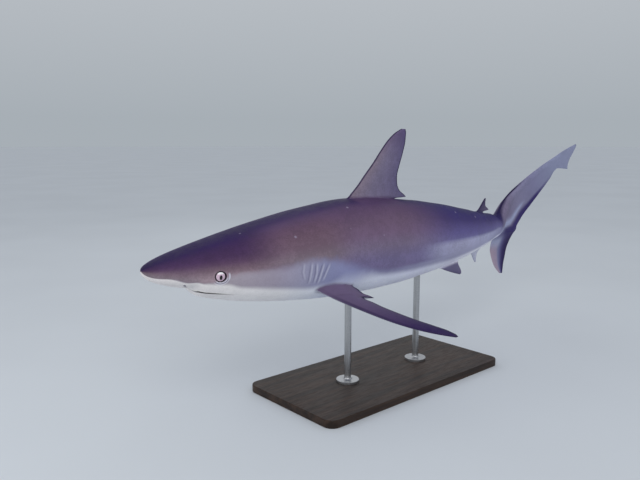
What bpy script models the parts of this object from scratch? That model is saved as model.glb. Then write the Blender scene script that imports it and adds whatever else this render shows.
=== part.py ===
"""Reef shark: a still, life-size display model held over a flat base by two short rods.

The animal is first drawn straight.  There s runs back from the tip of the snout, v out to the
animal's left and z up, all in hundredths of the total length, the way sharks are measured.
pose() then bends the straight animal along its spine and holds it over the base.
The head points along -X, the left side faces -Y and the base stands on z = 0.
"""
import bpy
import bmesh
import numpy as np
from math import cos, radians, sin
from mathutils import Vector

# ------------------------------------------------------------------ driving sizes
TOTAL_LENGTH = 2.00                 # m, snout tip to the tip of the tail
UNIT = TOTAL_LENGTH / 100           # m, one hundredth of the total length
GAP = 0.0003                        # m, the cut between two neighbouring nodes
AXIS_HEIGHT = 0.40                  # m, height of the body's axis over the floor at PIVOT

# ------------------------------------------------------------------ pose
PIVOT = 38                          # station held over the middle of the base
NOSE_UP = 2                         # degrees
BANK = 3                            # degrees, back leaning to the animal's left
SPINE_TURN = (                      # station, heading of the spine in degrees (tail to the right)
    (0, -8), (12, -5.5), (25, 0.5), (38, -1), (50, 1.5), (62, 10.5), (74, 15), (86, -8.5), (100, -25))
SPINE_STEPS = 500

# ------------------------------------------------------------------ body, station and size
BACK_LINE = ((0, 0), (1, 0.84), (3, 1.65), (6, 2.64), (13, 4.72), (24, 7.1), (31, 7.83),
             (38, 7.7), (48, 6.72), (58, 5.27), (66, 4.1), (76, 3.0))
BELLY_LINE = ((0, 0), (1, -1.18), (3, -1.8), (4.7, -2.02), (5.5, -2.3), (6, -3.0), (6.6, -3.35),
              (7.6, -3.6), (9.5, -4.0), (13, -4.52), (20, -5.15), (30, -5.5), (38, -5.15),
              (48, -4.1), (58, -2.65), (66, -1.7), (76, -0.75))
HALF_WIDTH = ((0, 0), (1, 1.92), (3, 3.3), (6, 4.5), (9, 5.2), (13, 5.8), (20, 6.2), (30, 6.3),
              (38, 5.9), (48, 4.8), (58, 3.5), (66, 2.45), (76, 1.3))
WIDEST_LEVEL = ((0, 0), (9, 0.1), (18, 0.3), (30, 0.6), (48, 0.8), (66, 1.0), (76, 1.15))
BACK_POWER = 2.05                   # roundness of the section above its widest level
BELLY_POWER = 2.25                  # and below it, a little flatter
BODY_SIDES = 32                     # points round each section
BODY_END = 76                       # station where the stalk ends inside the tail fin

SNOUT_START = 0.012                 # share of the head at its first section, before squaring

# name, first station, last station, number of sections, finish
BODY_LENGTHS = (("head", 0, 16.6, 20, "skin_head"), ("gill_region", 16.6, 22.6, 7, "skin_gills"),
                ("trunk_front", 22.6, 40, 10, "skin_back"),
                ("trunk_rear", 40, 58, 10, "skin_back"),
                ("tail_stalk", 58, BODY_END, 11, "skin_stalk"))

# ------------------------------------------------------------------ mouth and eyes
MOUTH_FRONT = 5.5                   # station of the front of the mouth, on the midline
MOUTH_CORNER = 10.4                 # station of its corners
MOUTH_ROUND = 3                     # power of the mouth's outline, 2 for a parabola
MOUTH_LEVELS = (-2.15, -2.62)       # height of the mouth line at its front and its corners
JAW_END = 12.4                      # station where the lower jaw joins the throat
JAW_ARC_STEPS = 14
JAW_BLOCK_PAST = (1, 2)             # how far the jaw's cutting block goes past the side and belly
EYE_STATION = 7.6
EYE_LEVEL = -0.08
EYE_TURN = 12                       # degrees the eye looks forward of straight out
EYE_RADIUS = 0.016                  # m, along the head
EYE_DEPTH_RADIUS = 0.011            # m, across the head
EYE_BULGE = 0.002                   # m, the ball stands this far out of the flank
EYE_SIDES = 16
EYE_RINGS = 10

# ------------------------------------------------------------------ upright fins
# Each fin is a stack of rows.  A row gives height, leading edge, trailing edge, half thickness.
DORSAL_ROWS = ((6.6, 29.2, 39.3, 0.62), (7.6, 29.5, 39.5, 0.56), (7.85, 29.9, 42.2, 0.50),
               (8.2, 30.3, 41.7, 0.46), (8.8, 31.0, 40.7, 0.42), (9.7, 31.9, 40.1, 0.38),
               (11, 33.0, 39.9, 0.34), (12.8, 34.6, 40.3, 0.28), (14.6, 36.0, 40.8, 0.22),
               (16.2, 37.4, 41.1, 0.16), (17.3, 38.8, 41.1, 0.11), (17.9, 40.0, 40.9, 0.05))
DORSAL_ROOT = (30, 39.5)            # stations that the fin follows along the spine
SECOND_DORSAL_ROWS = ((3.2, 61.8, 65.6, 0.30), (4.35, 62.3, 65.8, 0.26), (4.5, 62.9, 68.8, 0.22),
                      (4.8, 63.5, 68.2, 0.18), (5.4, 64.4, 66.9, 0.14), (6.1, 65.3, 66.7, 0.10),
                      (6.7, 66.2, 66.8, 0.05))
SECOND_DORSAL_ROOT = (62.5, 66.0)
ANAL_ROWS = ((-1.1, 61.0, 64.6, 0.30), (-2.05, 61.4, 64.8, 0.26), (-2.25, 61.7, 67.0, 0.22),
             (-2.6, 62.1, 66.0, 0.18), (-3.2, 62.8, 65.1, 0.14), (-4.0, 63.6, 64.9, 0.10),
             (-4.7, 64.5, 65.0, 0.05))
ANAL_ROOT = (61.8, 64.8)

# ------------------------------------------------------------------ tail fin
LOBE_ORIGIN = (74.2, 3.1)           # station and height of the start of the upper lobe
LOBE_RISE = 31                      # degrees
# along the lobe, height of the front edge over its line, depth of the rear edge, half thickness
UPPER_LOBE_ROWS = ((-1.2, -0.5, 3.6, 1.15), (0.6, 0.25, 4.6, 1.05), (2.6, 0.85, 6.0, 0.90),
                   (5.0, 0.95, 7.9, 0.72), (6.6, 0.85, 7.2, 0.60), (8.6, 0.7, 6.3, 0.50),
                   (11.5, 0.55, 5.5, 0.40), (15, 0.5, 4.4, 0.30), (18.5, 0.5, 3.1, 0.24),
                   (20.2, 0.45, 2.2, 0.21), (21.1, 0.45, 2.15, 0.19), (22.3, 0.45, 2.9, 0.16),
                   (23.2, 0.45, 3.55, 0.14), (23.5, 0.45, 2.9, 0.13), (24.2, 0.45, 2.1, 0.12),
                   (25.4, 0.4, 1.25, 0.09), (26.4, 0.32, 0.6, 0.06), (27.0, 0.28, 0.12, 0.05))
LOWER_LOBE_ROWS = ((1.2, 75.0, 83.6, 0.62), (-0.2, 75.0, 83.8, 0.56), (-1.4, 75.3, 83.1, 0.48),
                   (-3, 75.9, 82.7, 0.38), (-4.6, 76.7, 82.4, 0.30), (-6.2, 77.8, 82.2, 0.22),
                   (-7.6, 79.0, 82.0, 0.15), (-8.7, 80.3, 82.0, 0.09), (-9.5, 81.4, 82.0, 0.05))
LOWER_LOBE_BEND = -1.4              # how far the lower lobe gives way, to the animal's right
LOWER_LOBE_REAR_BEND = 0.8          # share of that at its rear edge
LOBE_SPLIT = -0.5                   # height of the level cut that parts the lobes
SPLIT_BLOCK = dict(stations=(70, 88), side=4, reach=12)     # the block that makes that cut

# ------------------------------------------------------------------ paired fins
# Rows give share of the span, chord from the leading edge and half thickness.  Sweep and droop
# of the leading edge and tilt, the rise of the chords to the rear, are in degrees over the
# share.  The toe turns the chords inwards.
PECTORAL_CHORDS = ((-0.12, 4.4, 0.50), (0, 5.0, 0.50), (0.06, 6.1, 0.47), (0.1, 6.35, 0.44),
                   (0.111, 7.2, 0.43), (0.119, 8.1, 0.42), (0.127, 6.8, 0.41), (0.137, 5.45, 0.41),
                   (0.22, 5.15, 0.37), (0.3, 4.95, 0.34), (0.4, 4.9, 0.31), (0.55, 4.75, 0.25),
                   (0.7, 4.35, 0.19), (0.84, 3.3, 0.13), (0.94, 1.9, 0.08), (1, 0.6, 0.05))
PECTORAL = dict(root=(20.5, 4.9, -2.9), span=19.4, sweep=((0, 37.9), (0.5, 44.9), (1, 57.4)),
                droop=((0, 28.9), (0.5, 25.4), (1, 13.6)), toe=0,
                tilt=((-0.12, 6), (0, 3.4), (0.105, -5.2), (0.119, -8.4), (0.13, -6.6), (0.4, -5.7),
                      (1, -2.7)),
                follows=(22, 25), chords=PECTORAL_CHORDS)
PELVIC_CHORDS = ((-0.35, 3.4, 0.30), (0, 4.2, 0.30), (0.2, 5.0, 0.25), (0.32, 6.0, 0.20),
                 (0.45, 4.5, 0.17), (0.66, 3.1, 0.13), (0.86, 1.8, 0.09), (1, 0.6, 0.05))
PELVIC = dict(root=(46.8, 2.7, -2.75), span=4.7, sweep=((0, 50), (1, 58)),
              droop=((0, 36), (1, 22)), toe=10, tilt=((0, 8), (1, 8)),
              follows=(48, 51), chords=PELVIC_CHORDS)
SPAN_STEPS = 40                     # steps used to walk along a swept leading edge
EDGE = 0.0004                       # m, half thickness left at every fin's edges
FIN_POINTS = 9                      # points from the leading to the trailing edge

# ------------------------------------------------------------------ stand
BASE_LENGTH = 0.74                  # m
BASE_WIDTH = 0.36
BASE_THICKNESS = 0.022
BASE_CORNER = 0.03                  # m, radius of the plate's corners seen from above
BASE_EDGE = 0.002                   # m, the small bevel round its top and bottom
ROD_STATIONS = (("front", 31), ("rear", 46))
ROD_RADIUS = 0.010
FLANGE_RADIUS = 0.034
FLANGE_THICKNESS = 0.007
ROD_FILLET = 0.006                  # m, round between a rod and its flange
ROD_SIDES = 24

# colour (linear), metallic, roughness
FINISHES = {
    "skin_back": ((0.085, 0.068, 0.075), 0, 0.55),
    "skin_head": ((0.095, 0.078, 0.082), 0, 0.55),
    "skin_gills": ((0.16, 0.15, 0.17), 0, 0.55),
    "skin_jaw": ((0.55, 0.55, 0.56), 0, 0.5),
    "skin_stalk": ((0.12, 0.11, 0.13), 0, 0.55),
    "fin_grey": ((0.15, 0.14, 0.16), 0, 0.55),
    "fin_pale": ((0.42, 0.42, 0.45), 0, 0.5),
    "eye": ((0.45, 0.38, 0.40), 0, 0.1),
    "dark_wood": ((0.035, 0.025, 0.02), 0, 0.45),
    "brushed_steel": ((0.55, 0.55, 0.56), 1, 0.35),
}


# ------------------------------------------------------------------ small tools
def smooth(knots, bend=lambda x: x):
    """A natural cubic curve through the knots, spaced by bend(x), as a function of x."""
    x = bend(np.array([knot[0] for knot in knots], float))
    y = np.array([knot[1] for knot in knots], float)
    step = np.diff(x)
    slope = np.diff(y) / step
    matrix = np.eye(len(x))
    right = np.zeros(len(x))
    for i in range(1, len(x) - 1):
        matrix[i, i - 1:i + 2] = step[i - 1], 2 * (step[i - 1] + step[i]), step[i]
        right[i] = 6 * (slope[i] - slope[i - 1])
    curve = np.linalg.solve(matrix, right)

    def at(value):
        t = bend(np.asarray(value, float))
        i = np.clip(np.searchsorted(x, t) - 1, 0, len(step) - 1)
        after = t - x[i]
        before = x[i + 1] - t
        return ((curve[i] * before ** 3 + curve[i + 1] * after ** 3) / (6 * step[i])
                + (y[i] / step[i] - curve[i] * step[i] / 6) * before
                + (y[i + 1] / step[i] - curve[i + 1] * step[i] / 6) * after)
    return at


def blend(low, high, value):
    """0 below low, 1 above high, with a soft start and end."""
    share = np.clip((np.asarray(value, float) - low) / (high - low), 0, 1)
    return share * share * (3 - 2 * share)


heading = smooth(SPINE_TURN)
back_line = smooth(BACK_LINE, np.sqrt)
belly_line = smooth(BELLY_LINE, np.sqrt)
half_width = smooth(HALF_WIDTH, np.sqrt)
widest_level = smooth(WIDEST_LEVEL, np.sqrt)


def walk_spine():
    """Stations along the spine with the x and y they reach, in hundredths, PIVOT at 0, 0."""
    stations = np.linspace(0, 100, SPINE_STEPS + 1)
    turn = np.radians(heading(stations))
    step = np.diff(stations)
    x = np.concatenate([[0], np.cumsum((np.cos(turn[1:]) + np.cos(turn[:-1])) / 2 * step)])
    y = np.concatenate([[0], np.cumsum((np.sin(turn[1:]) + np.sin(turn[:-1])) / 2 * step)])
    return stations, x - np.interp(PIVOT, stations, x), y - np.interp(PIVOT, stations, y)


SPINE = walk_spine()


def pose(points, follows=None):
    """World points in metres for straight-animal points (s, v, z).

    A fin passes follows, the two stations between which its points take their place from the
    spine, so that the fin stays stiff beyond them."""
    s, v, z = np.asarray(points, float).T
    place = s if follows is None else np.clip(s, *follows)
    turn = np.radians(heading(place))
    stations, spine_x, spine_y = SPINE
    beyond = s - place
    x = np.interp(place, stations, spine_x) + beyond * np.cos(turn) + v * np.sin(turn)
    y = np.interp(place, stations, spine_y) + beyond * np.sin(turn) - v * np.cos(turn)
    bank, lift = radians(BANK), radians(NOSE_UP)
    y, z = y * cos(bank) - z * sin(bank), y * sin(bank) + z * cos(bank)
    x, z = x * cos(lift) + z * sin(lift), z * cos(lift) - x * sin(lift)
    return np.stack([x * UNIT, y * UNIT, z * UNIT + AXIS_HEIGHT], axis=-1)


def material(name):
    colour, metallic, roughness = FINISHES[name]
    made = bpy.data.materials.get(name) or bpy.data.materials.new(name)
    made.use_nodes = True
    shader = made.node_tree.nodes["Principled BSDF"]
    shader.inputs["Base Color"].default_value = (*colour, 1)
    shader.inputs["Metallic"].default_value = metallic
    shader.inputs["Roughness"].default_value = roughness
    made.diffuse_color = (*colour, 1)
    return made


def add_object(name, mesh_data, finish=None):
    """Link a bmesh into the scene as one object with its faces turned outwards."""
    mesh_data.normal_update()
    bmesh.ops.recalc_face_normals(mesh_data, faces=mesh_data.faces)
    mesh = bpy.data.meshes.new(name)
    mesh_data.to_mesh(mesh)
    mesh_data.free()
    mesh.shade_smooth()
    mesh.set_sharp_from_angle(angle=radians(40))
    made = bpy.data.objects.new(name, mesh)
    bpy.context.scene.collection.objects.link(made)
    if finish:
        mesh.materials.append(material(finish))
    else:
        made.hide_render = True
        made.display_type = "WIRE"
    return made


def loft(rings, tip=None):
    """A closed bmesh over rings of equal count; tip, a single point, closes the first ring."""
    made = bmesh.new()
    rows = [[made.verts.new(point) for point in ring] for ring in rings]
    count = len(rows[0])
    for low, high in zip(rows, rows[1:]):
        for i in range(count):
            made.faces.new((low[i], low[(i + 1) % count], high[(i + 1) % count], high[i]))
    made.faces.new(rows[-1])
    if tip is None:
        made.faces.new(reversed(rows[0]))
    else:
        end = made.verts.new(tip)
        for i in range(count):
            made.faces.new((end, rows[0][(i + 1) % count], rows[0][i]))
    return made


def cut(target, cutter, operation="DIFFERENCE"):
    boolean = target.modifiers.new(f"cut_{cutter.name}", "BOOLEAN")
    boolean.operation = operation
    boolean.solver = "EXACT"
    boolean.object = cutter


# ------------------------------------------------------------------ body
def section(station, grow=0.0):
    """The points round the straight body at a station, from the back down the left side."""
    top = back_line(station) + grow
    bottom = belly_line(station) - grow
    width = half_width(station) + grow
    widest = widest_level(station)
    ring = []
    for i in range(BODY_SIDES):
        angle = 2 * np.pi * i / BODY_SIDES
        side, up = sin(angle), cos(angle)
        power, reach = (BACK_POWER, top - widest) if up >= 0 else (BELLY_POWER, widest - bottom)
        v = np.sign(side) * width * abs(side) ** (2 / power)
        z = widest + np.sign(up) * reach * abs(up) ** (2 / power)
        ring.append((station, v, z))
    return ring


def stations_of(first, last, sections):
    """Where a length's sections lie.  Those of the head are closer together towards the snout."""
    shares = np.linspace(0, 1, sections)
    if first == 0:
        return last * ((shares[1:] + SNOUT_START) / (1 + SNOUT_START)) ** 2
    return first + (last - first) * shares


def body_loft(stations, grow=0.0, snout=False):
    tip = pose([(-grow, 0, 0)])[0] if snout else None
    return loft([pose(section(station, grow)) for station in stations], tip)


def make_body():
    """Every length of the body, and the whole of it a gap larger, to cut what grows from it."""
    half_gap = GAP / UNIT / 2
    made = {}
    everywhere = []
    for name, first, last, sections, finish in BODY_LENGTHS:
        stations = stations_of(first, last, sections)
        everywhere.extend(stations[:-1])
        if first:
            stations[0] += half_gap
        if last != BODY_END:
            stations[-1] -= half_gap
        made[name] = add_object(name, body_loft(stations, snout=first == 0), finish)
    everywhere.append(BODY_END + 2 * half_gap)
    cutter = add_object("cutter_body", body_loft(everywhere, 2 * half_gap, snout=True))
    return made, cutter


# ------------------------------------------------------------------ lower jaw
def jaw_block(grow=0.0):
    """The space of the lower jaw: a block below the mouth line, round at the front."""
    reach = MOUTH_CORNER - MOUTH_FRONT
    side = float(half_width(MOUTH_CORNER)) + JAW_BLOCK_PAST[0]
    outline = [(JAW_END + grow, -side - grow), (JAW_END + grow, side + grow)]
    for i in range(JAW_ARC_STEPS + 1):
        v = side * (1 - 2 * i / JAW_ARC_STEPS)
        back = MOUTH_FRONT - grow + reach * abs(v / side) ** MOUTH_ROUND
        outline.append((back, v * (1 + grow / side)))
    floor = float(belly_line(JAW_END)) - JAW_BLOCK_PAST[1]
    fall = (MOUTH_LEVELS[1] - MOUTH_LEVELS[0]) / reach
    lid = [(s, v, MOUTH_LEVELS[0] + fall * (s - MOUTH_FRONT) + grow) for s, v in outline]
    return loft([pose([(s, v, floor) for s, v in outline]), pose(lid)])


def make_jaw(head):
    """Part the lower jaw from the head along the mouth line."""
    _, first, last, sections, _ = BODY_LENGTHS[0]
    whole = add_object("lower_jaw", body_loft(stations_of(first, last, sections), snout=True),
                       "skin_jaw")
    cut(whole, add_object("cutter_jaw", jaw_block()), "INTERSECT")
    cut(head, add_object("cutter_mouth", jaw_block(GAP / UNIT)))


# ------------------------------------------------------------------ eyes
def eye_ball(side, grow=0.0):
    """An eyeball: a flattened ball, side 1 for the left eye and -1 for the right one."""
    width = float(half_width(EYE_STATION))
    middle = width + (EYE_BULGE - EYE_DEPTH_RADIUS) / UNIT
    turn = radians(EYE_TURN)
    along = np.array([cos(turn), side * sin(turn), 0])
    out = np.array([-sin(turn), side * cos(turn), 0])
    centre = np.array([EYE_STATION, side * middle, EYE_LEVEL])
    wide = (EYE_RADIUS + grow) / UNIT
    deep = (EYE_DEPTH_RADIUS + grow) / UNIT
    made = bmesh.new()
    bmesh.ops.create_uvsphere(made, u_segments=EYE_SIDES, v_segments=EYE_RINGS, radius=1)
    for vert in made.verts:
        x, y, z = vert.co
        place = centre + along * x * wide + out * z * deep + np.array([0, 0, y * wide])
        vert.co = Vector(pose([place])[0])
    return made


def make_eyes(head):
    for name, side in (("left", 1), ("right", -1)):
        add_object(f"eye_{name}", eye_ball(side), "eye")
        cut(head, add_object(f"cutter_eye_{name}", eye_ball(side, GAP)))


# ------------------------------------------------------------------ fins
def foil(share):
    """Half thickness of a fin at a share of its chord, 1 at the thickest place."""
    return 1.75 * np.sqrt(share) * (1 - share) + 0.7 * share * (1 - share)


def blade(rows, follows):
    """A fin from rows of (leading point, trailing point, half thickness, direction out)."""
    shares = (1 - np.cos(np.linspace(0, np.pi, FIN_POINTS))) / 2
    rings = []
    for lead, trail, thickness, out in rows:
        lead, trail, out = np.array(lead, float), np.array(trail, float), np.array(out, float)
        depth = foil(shares) * thickness + EDGE / UNIT
        spine = lead + shares[:, None] * (trail - lead)
        one_side = spine + depth[:, None] * out
        other_side = (spine - depth[:, None] * out)[::-1]
        rings.append(pose(np.concatenate([one_side, other_side]), follows))
    return loft(rings)


def upright_rows(rows):
    """Rows of a fin that stands on the midline."""
    return [((lead, 0, height), (trail, 0, height), thickness, (0, 1, 0))
            for height, lead, trail, thickness in rows]


def upper_lobe_rows():
    rise = radians(LOBE_RISE)
    along = np.array([cos(rise), 0, sin(rise)])
    down = np.array([sin(rise), 0, -cos(rise)])
    origin = np.array([LOBE_ORIGIN[0], 0, LOBE_ORIGIN[1]])
    return [(origin + along * place - down * front, origin + along * place + down * rear,
             thickness, (0, 1, 0)) for place, front, rear, thickness in UPPER_LOBE_ROWS]


def lower_lobe_rows():
    """The lower lobe gives way sideways from its root down."""
    top, tip = LOWER_LOBE_ROWS[0][0], LOWER_LOBE_ROWS[-1][0]
    rows = []
    for height, lead, trail, thickness in LOWER_LOBE_ROWS:
        bend = LOWER_LOBE_BEND * float(blend(top, tip / 2, height)) if height < top else 0
        rows.append(((lead, bend, height), (trail, bend * LOWER_LOBE_REAR_BEND, height),
                     thickness, (0, 1, 0)))
    return rows


def turn_at(knots, share):
    """An angle in radians at a share of the span, from knots in degrees."""
    return np.radians(np.interp(share, *zip(*knots)))


def swept_rows(fin, side):
    """Rows of a paired fin, walked out along a leading edge that sweeps back and droops."""
    steps = np.linspace(0, 1, SPAN_STEPS + 1)
    sweep, droop = turn_at(fin["sweep"], steps), turn_at(fin["droop"], steps)
    forward = np.stack([np.sin(sweep), np.cos(sweep) * np.cos(droop),
                        -np.cos(sweep) * np.sin(droop)], axis=-1)
    walked = np.cumsum((forward[1:] + forward[:-1]) / 2, axis=0) * fin["span"] / SPAN_STEPS
    edge = np.concatenate([[(0, 0, 0)], walked]) + np.array(fin["root"])
    toe = radians(fin["toe"])
    mirror = np.array([1, side, 1])
    rows = []
    for share, chord, thickness in fin["chords"]:
        inside = min(share, 0) * fin["span"] * forward[0]
        lead = np.array([np.interp(share, steps, edge[:, i]) for i in range(3)]) + inside
        run = np.array([np.interp(share, steps, forward[:, i]) for i in range(3)])
        tilt = turn_at(fin["tilt"], share)
        back = np.array([cos(tilt) * cos(toe), -cos(tilt) * sin(toe), sin(tilt)])
        out = np.cross(run, back)
        out /= np.linalg.norm(out)
        rows.append((lead * mirror, (lead + back * chord) * mirror, thickness, out * mirror))
    return rows


def make_fins(body_cutter):
    parts = {
        "dorsal_fin_first": (upright_rows(DORSAL_ROWS), DORSAL_ROOT, "fin_grey"),
        "dorsal_fin_second": (upright_rows(SECOND_DORSAL_ROWS), SECOND_DORSAL_ROOT, "fin_grey"),
        "anal_fin": (upright_rows(ANAL_ROWS), ANAL_ROOT, "fin_pale"),
    }
    for name, side in (("left", 1), ("right", -1)):
        for kind, fin in (("pectoral", PECTORAL), ("pelvic", PELVIC)):
            finish = "fin_grey" if kind == "pectoral" else "fin_pale"
            parts[f"{kind}_fin_{name}"] = (swept_rows(fin, side), fin["follows"], finish)
    for name, (rows, follows, finish) in parts.items():
        cut(add_object(name, blade(rows, follows), finish), body_cutter)


def split_block(low, high):
    """A block round the root of the tail fin between two heights."""
    front, rear = SPLIT_BLOCK["stations"]
    side = SPLIT_BLOCK["side"]
    corners = ((front, -side), (rear, -side), (rear, side), (front, side))
    return loft([pose([(s, v, z) for s, v in corners]) for z in (low, high)])


def make_tail_fin(body_cutter):
    """Two lobes parted by a level cut just above the fork."""
    upper = add_object("caudal_upper_lobe", blade(upper_lobe_rows(), None), "fin_grey")
    lower = add_object("caudal_lower_lobe", blade(lower_lobe_rows(), None), "fin_grey")
    reach, half_gap = SPLIT_BLOCK["reach"], GAP / UNIT / 2
    below = add_object("cutter_below_split", split_block(LOBE_SPLIT - reach, LOBE_SPLIT + half_gap))
    above = add_object("cutter_above_split", split_block(LOBE_SPLIT - half_gap, LOBE_SPLIT + reach))
    for lobe, block in ((upper, below), (lower, above)):
        cut(lobe, body_cutter)
        cut(lobe, block)


# ------------------------------------------------------------------ stand
def make_base():
    made = bmesh.new()
    corner_steps = 6
    outline = []
    for corner, (x_side, y_side) in enumerate(((1, 1), (-1, 1), (-1, -1), (1, -1))):
        for i in range(corner_steps + 1):
            angle = np.pi / 2 * (corner + i / corner_steps)
            outline.append((x_side * (BASE_LENGTH / 2 - BASE_CORNER) + BASE_CORNER * cos(angle),
                            y_side * (BASE_WIDTH / 2 - BASE_CORNER) + BASE_CORNER * sin(angle)))
    face = made.faces.new([made.verts.new((x, y, 0)) for x, y in outline])
    raised = bmesh.ops.extrude_face_region(made, geom=[face])["geom"]
    for vert in raised:
        if isinstance(vert, bmesh.types.BMVert):
            vert.co.z = BASE_THICKNESS
    rims = [edge for edge in made.edges
            if abs(edge.verts[0].co.z - edge.verts[1].co.z) < BASE_EDGE / 10]
    bmesh.ops.bevel(made, geom=rims, offset=BASE_EDGE, segments=2, profile=0.5, affect="EDGES")
    add_object("stand_base", made, "dark_wood")


def rod_profile(top):
    """Radius and height up a rod: flange, round, shaft."""
    foot = BASE_THICKNESS + GAP
    rim = 0.001
    profile = [(FLANGE_RADIUS, foot), (FLANGE_RADIUS, foot + FLANGE_THICKNESS - rim),
               (FLANGE_RADIUS - rim, foot + FLANGE_THICKNESS)]
    round_steps = 5
    for i in range(round_steps + 1):
        angle = np.pi / 2 * i / round_steps
        profile.append((ROD_RADIUS + ROD_FILLET * (1 - sin(angle)),
                        foot + FLANGE_THICKNESS + ROD_FILLET * (1 - cos(angle))))
    return profile + [(ROD_RADIUS, top)]


def make_rods(body_cutter):
    for name, station in ROD_STATIONS:
        x, y, top = pose([(station, 0, 0)])[0]
        rings = []
        for radius, height in rod_profile(top):
            rings.append([(x + radius * cos(angle), y + radius * sin(angle), height)
                          for angle in np.linspace(0, 2 * np.pi, ROD_SIDES, endpoint=False)])
        cut(add_object(f"stand_rod_{name}", loft(rings), "brushed_steel"), body_cutter)


def main():
    for old in list(bpy.data.objects):
        bpy.data.objects.remove(old, do_unlink=True)
    body, cutter = make_body()
    make_jaw(body["head"])
    make_eyes(body["head"])
    make_fins(cutter)
    make_tail_fin(cutter)
    make_base()
    make_rods(cutter)


main()
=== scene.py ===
"""Reef shark: the looks of a still, life-size display model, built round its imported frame.

The straight animal is drawn in hundredths of its total length: s runs back from the tip of the
snout, v out to the animal's left and z up.  pose() bends it along its spine and holds it over
the stand.  The head points along -X and the left side faces -Y.
"""
from functools import partial
from math import cos, radians, sin

import bmesh
import bpy
import numpy as np
from bpy.props import FloatProperty, FloatVectorProperty, PointerProperty
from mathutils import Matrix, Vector
from mathutils.kdtree import KDTree


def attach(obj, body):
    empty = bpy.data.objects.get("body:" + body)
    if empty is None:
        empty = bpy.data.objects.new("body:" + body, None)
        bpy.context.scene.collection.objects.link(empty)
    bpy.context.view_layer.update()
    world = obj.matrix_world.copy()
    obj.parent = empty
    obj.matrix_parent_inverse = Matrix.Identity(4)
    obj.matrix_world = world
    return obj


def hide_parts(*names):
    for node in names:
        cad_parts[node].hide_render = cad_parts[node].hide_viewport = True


bl_info = {
    "name": "Reef shark display model",
    "version": (1, 0, 0),
    "blender": (4, 5, 0),
    "location": "3D View > Sidebar > Reef shark",
    "description": "Builds the skin, eyes and stand of a life-size reef shark",
    "category": "Object",
}

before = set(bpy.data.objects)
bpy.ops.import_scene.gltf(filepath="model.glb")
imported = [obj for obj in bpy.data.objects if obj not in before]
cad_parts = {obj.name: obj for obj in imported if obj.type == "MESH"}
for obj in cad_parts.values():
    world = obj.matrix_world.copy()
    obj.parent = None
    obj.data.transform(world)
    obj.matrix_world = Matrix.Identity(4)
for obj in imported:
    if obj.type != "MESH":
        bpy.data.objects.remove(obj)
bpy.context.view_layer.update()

BODY = "root"
MM = 0.001

# ---- the straight animal ----
TOTAL_LENGTH = 2.00  # m
UNIT = TOTAL_LENGTH / 100
AXIS_HEIGHT = 0.40  # m, height of the body's axis over the floor at PIVOT
PIVOT = 38  # station
NOSE_UP = 2  # degrees
BANK = 3  # degrees, the left side down
SPINE_TURN = (  # station, heading of the spine in degrees
    (0, -8), (12, -5.5), (25, 0.5), (38, -1), (50, 1.5), (62, 10.5), (74, 15), (86, -8.5), (100, -25))
SPINE_STEPS = 500

# by station: height of the back and of the belly, half the width, height of the widest place
BACK_LINE = ((0, 0), (1, 0.84), (3, 1.65), (6, 2.64), (13, 4.72), (24, 7.1), (31, 7.83),
             (38, 7.7), (48, 6.72), (58, 5.27), (66, 4.1), (76, 3.0))
BELLY_LINE = ((0, 0), (1, -1.18), (3, -1.8), (4.7, -2.02), (5.5, -2.3), (6, -3.0), (6.6, -3.35),
              (7.6, -3.6), (9.5, -4.0), (13, -4.52), (20, -5.15), (30, -5.5), (38, -5.15),
              (48, -4.1), (58, -2.65), (66, -1.7), (76, -0.75))
HALF_WIDTH = ((0, 0), (1, 1.92), (3, 3.3), (6, 4.5), (9, 5.2), (13, 5.8), (20, 6.2), (30, 6.3),
              (38, 5.9), (48, 4.8), (58, 3.5), (66, 2.45), (76, 1.3))
WIDEST_LEVEL = ((0, 0), (9, 0.1), (18, 0.3), (30, 0.6), (48, 0.8), (66, 1.0), (76, 1.15))
BACK_POWER = 2.05  # how full the section is over its widest place (2: an ellipse)
BELLY_POWER = 2.25  # the same below it
BODY_END = 76  # station

# the muscle of the tail runs on into the upper lobe: along the lobe's line, top over the line,
# depth below it, half width
LOBE_ORIGIN = (74.2, 3.1)  # station and height
LOBE_RISE = 31  # degrees
TAIL_CORE = ((0.2, 0.0, 3.75, 1.42), (2.6, 0.45, 2.7, 1.08), (5, 0.6, 1.95, 0.74),
             (8.6, 0.38, 1.4, 0.48), (13, 0.25, 1.05, 0.33), (18, 0.25, 0.75, 0.22),
             (22.6, 0.2, 0.4, 0.1))
TAIL_CORE_BLEND = (66, 73)  # stations over which the body gives way to it

# how far apart the skin's rings lie, and where
RING_SPACING = ((0.02, 0.02), (0.4, 0.1), (2.8, 0.12), (3.4, 0.07), (11.4, 0.07), (12.4, 0.2),
                (16.9, 0.2), (17.4, 0.075), (21.9, 0.075), (23.2, 0.4), (40, 0.55), (62, 0.5),
                (72, 0.3), (80, 0.4), (97, 0.5))
HEAD_END = 23.4  # beyond it every second line round the body is left out
SIDE_LINES = 96  # lines from the back down to the belly on each side
SIDE_BAND = (70, 146)  # degrees round from the back that hold the finer lines
SIDE_BAND_GAIN = 3.4  # how many times finer they are
EVEN_LINES = (22.4, 29)  # stations over which the lines spread out evenly

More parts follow.
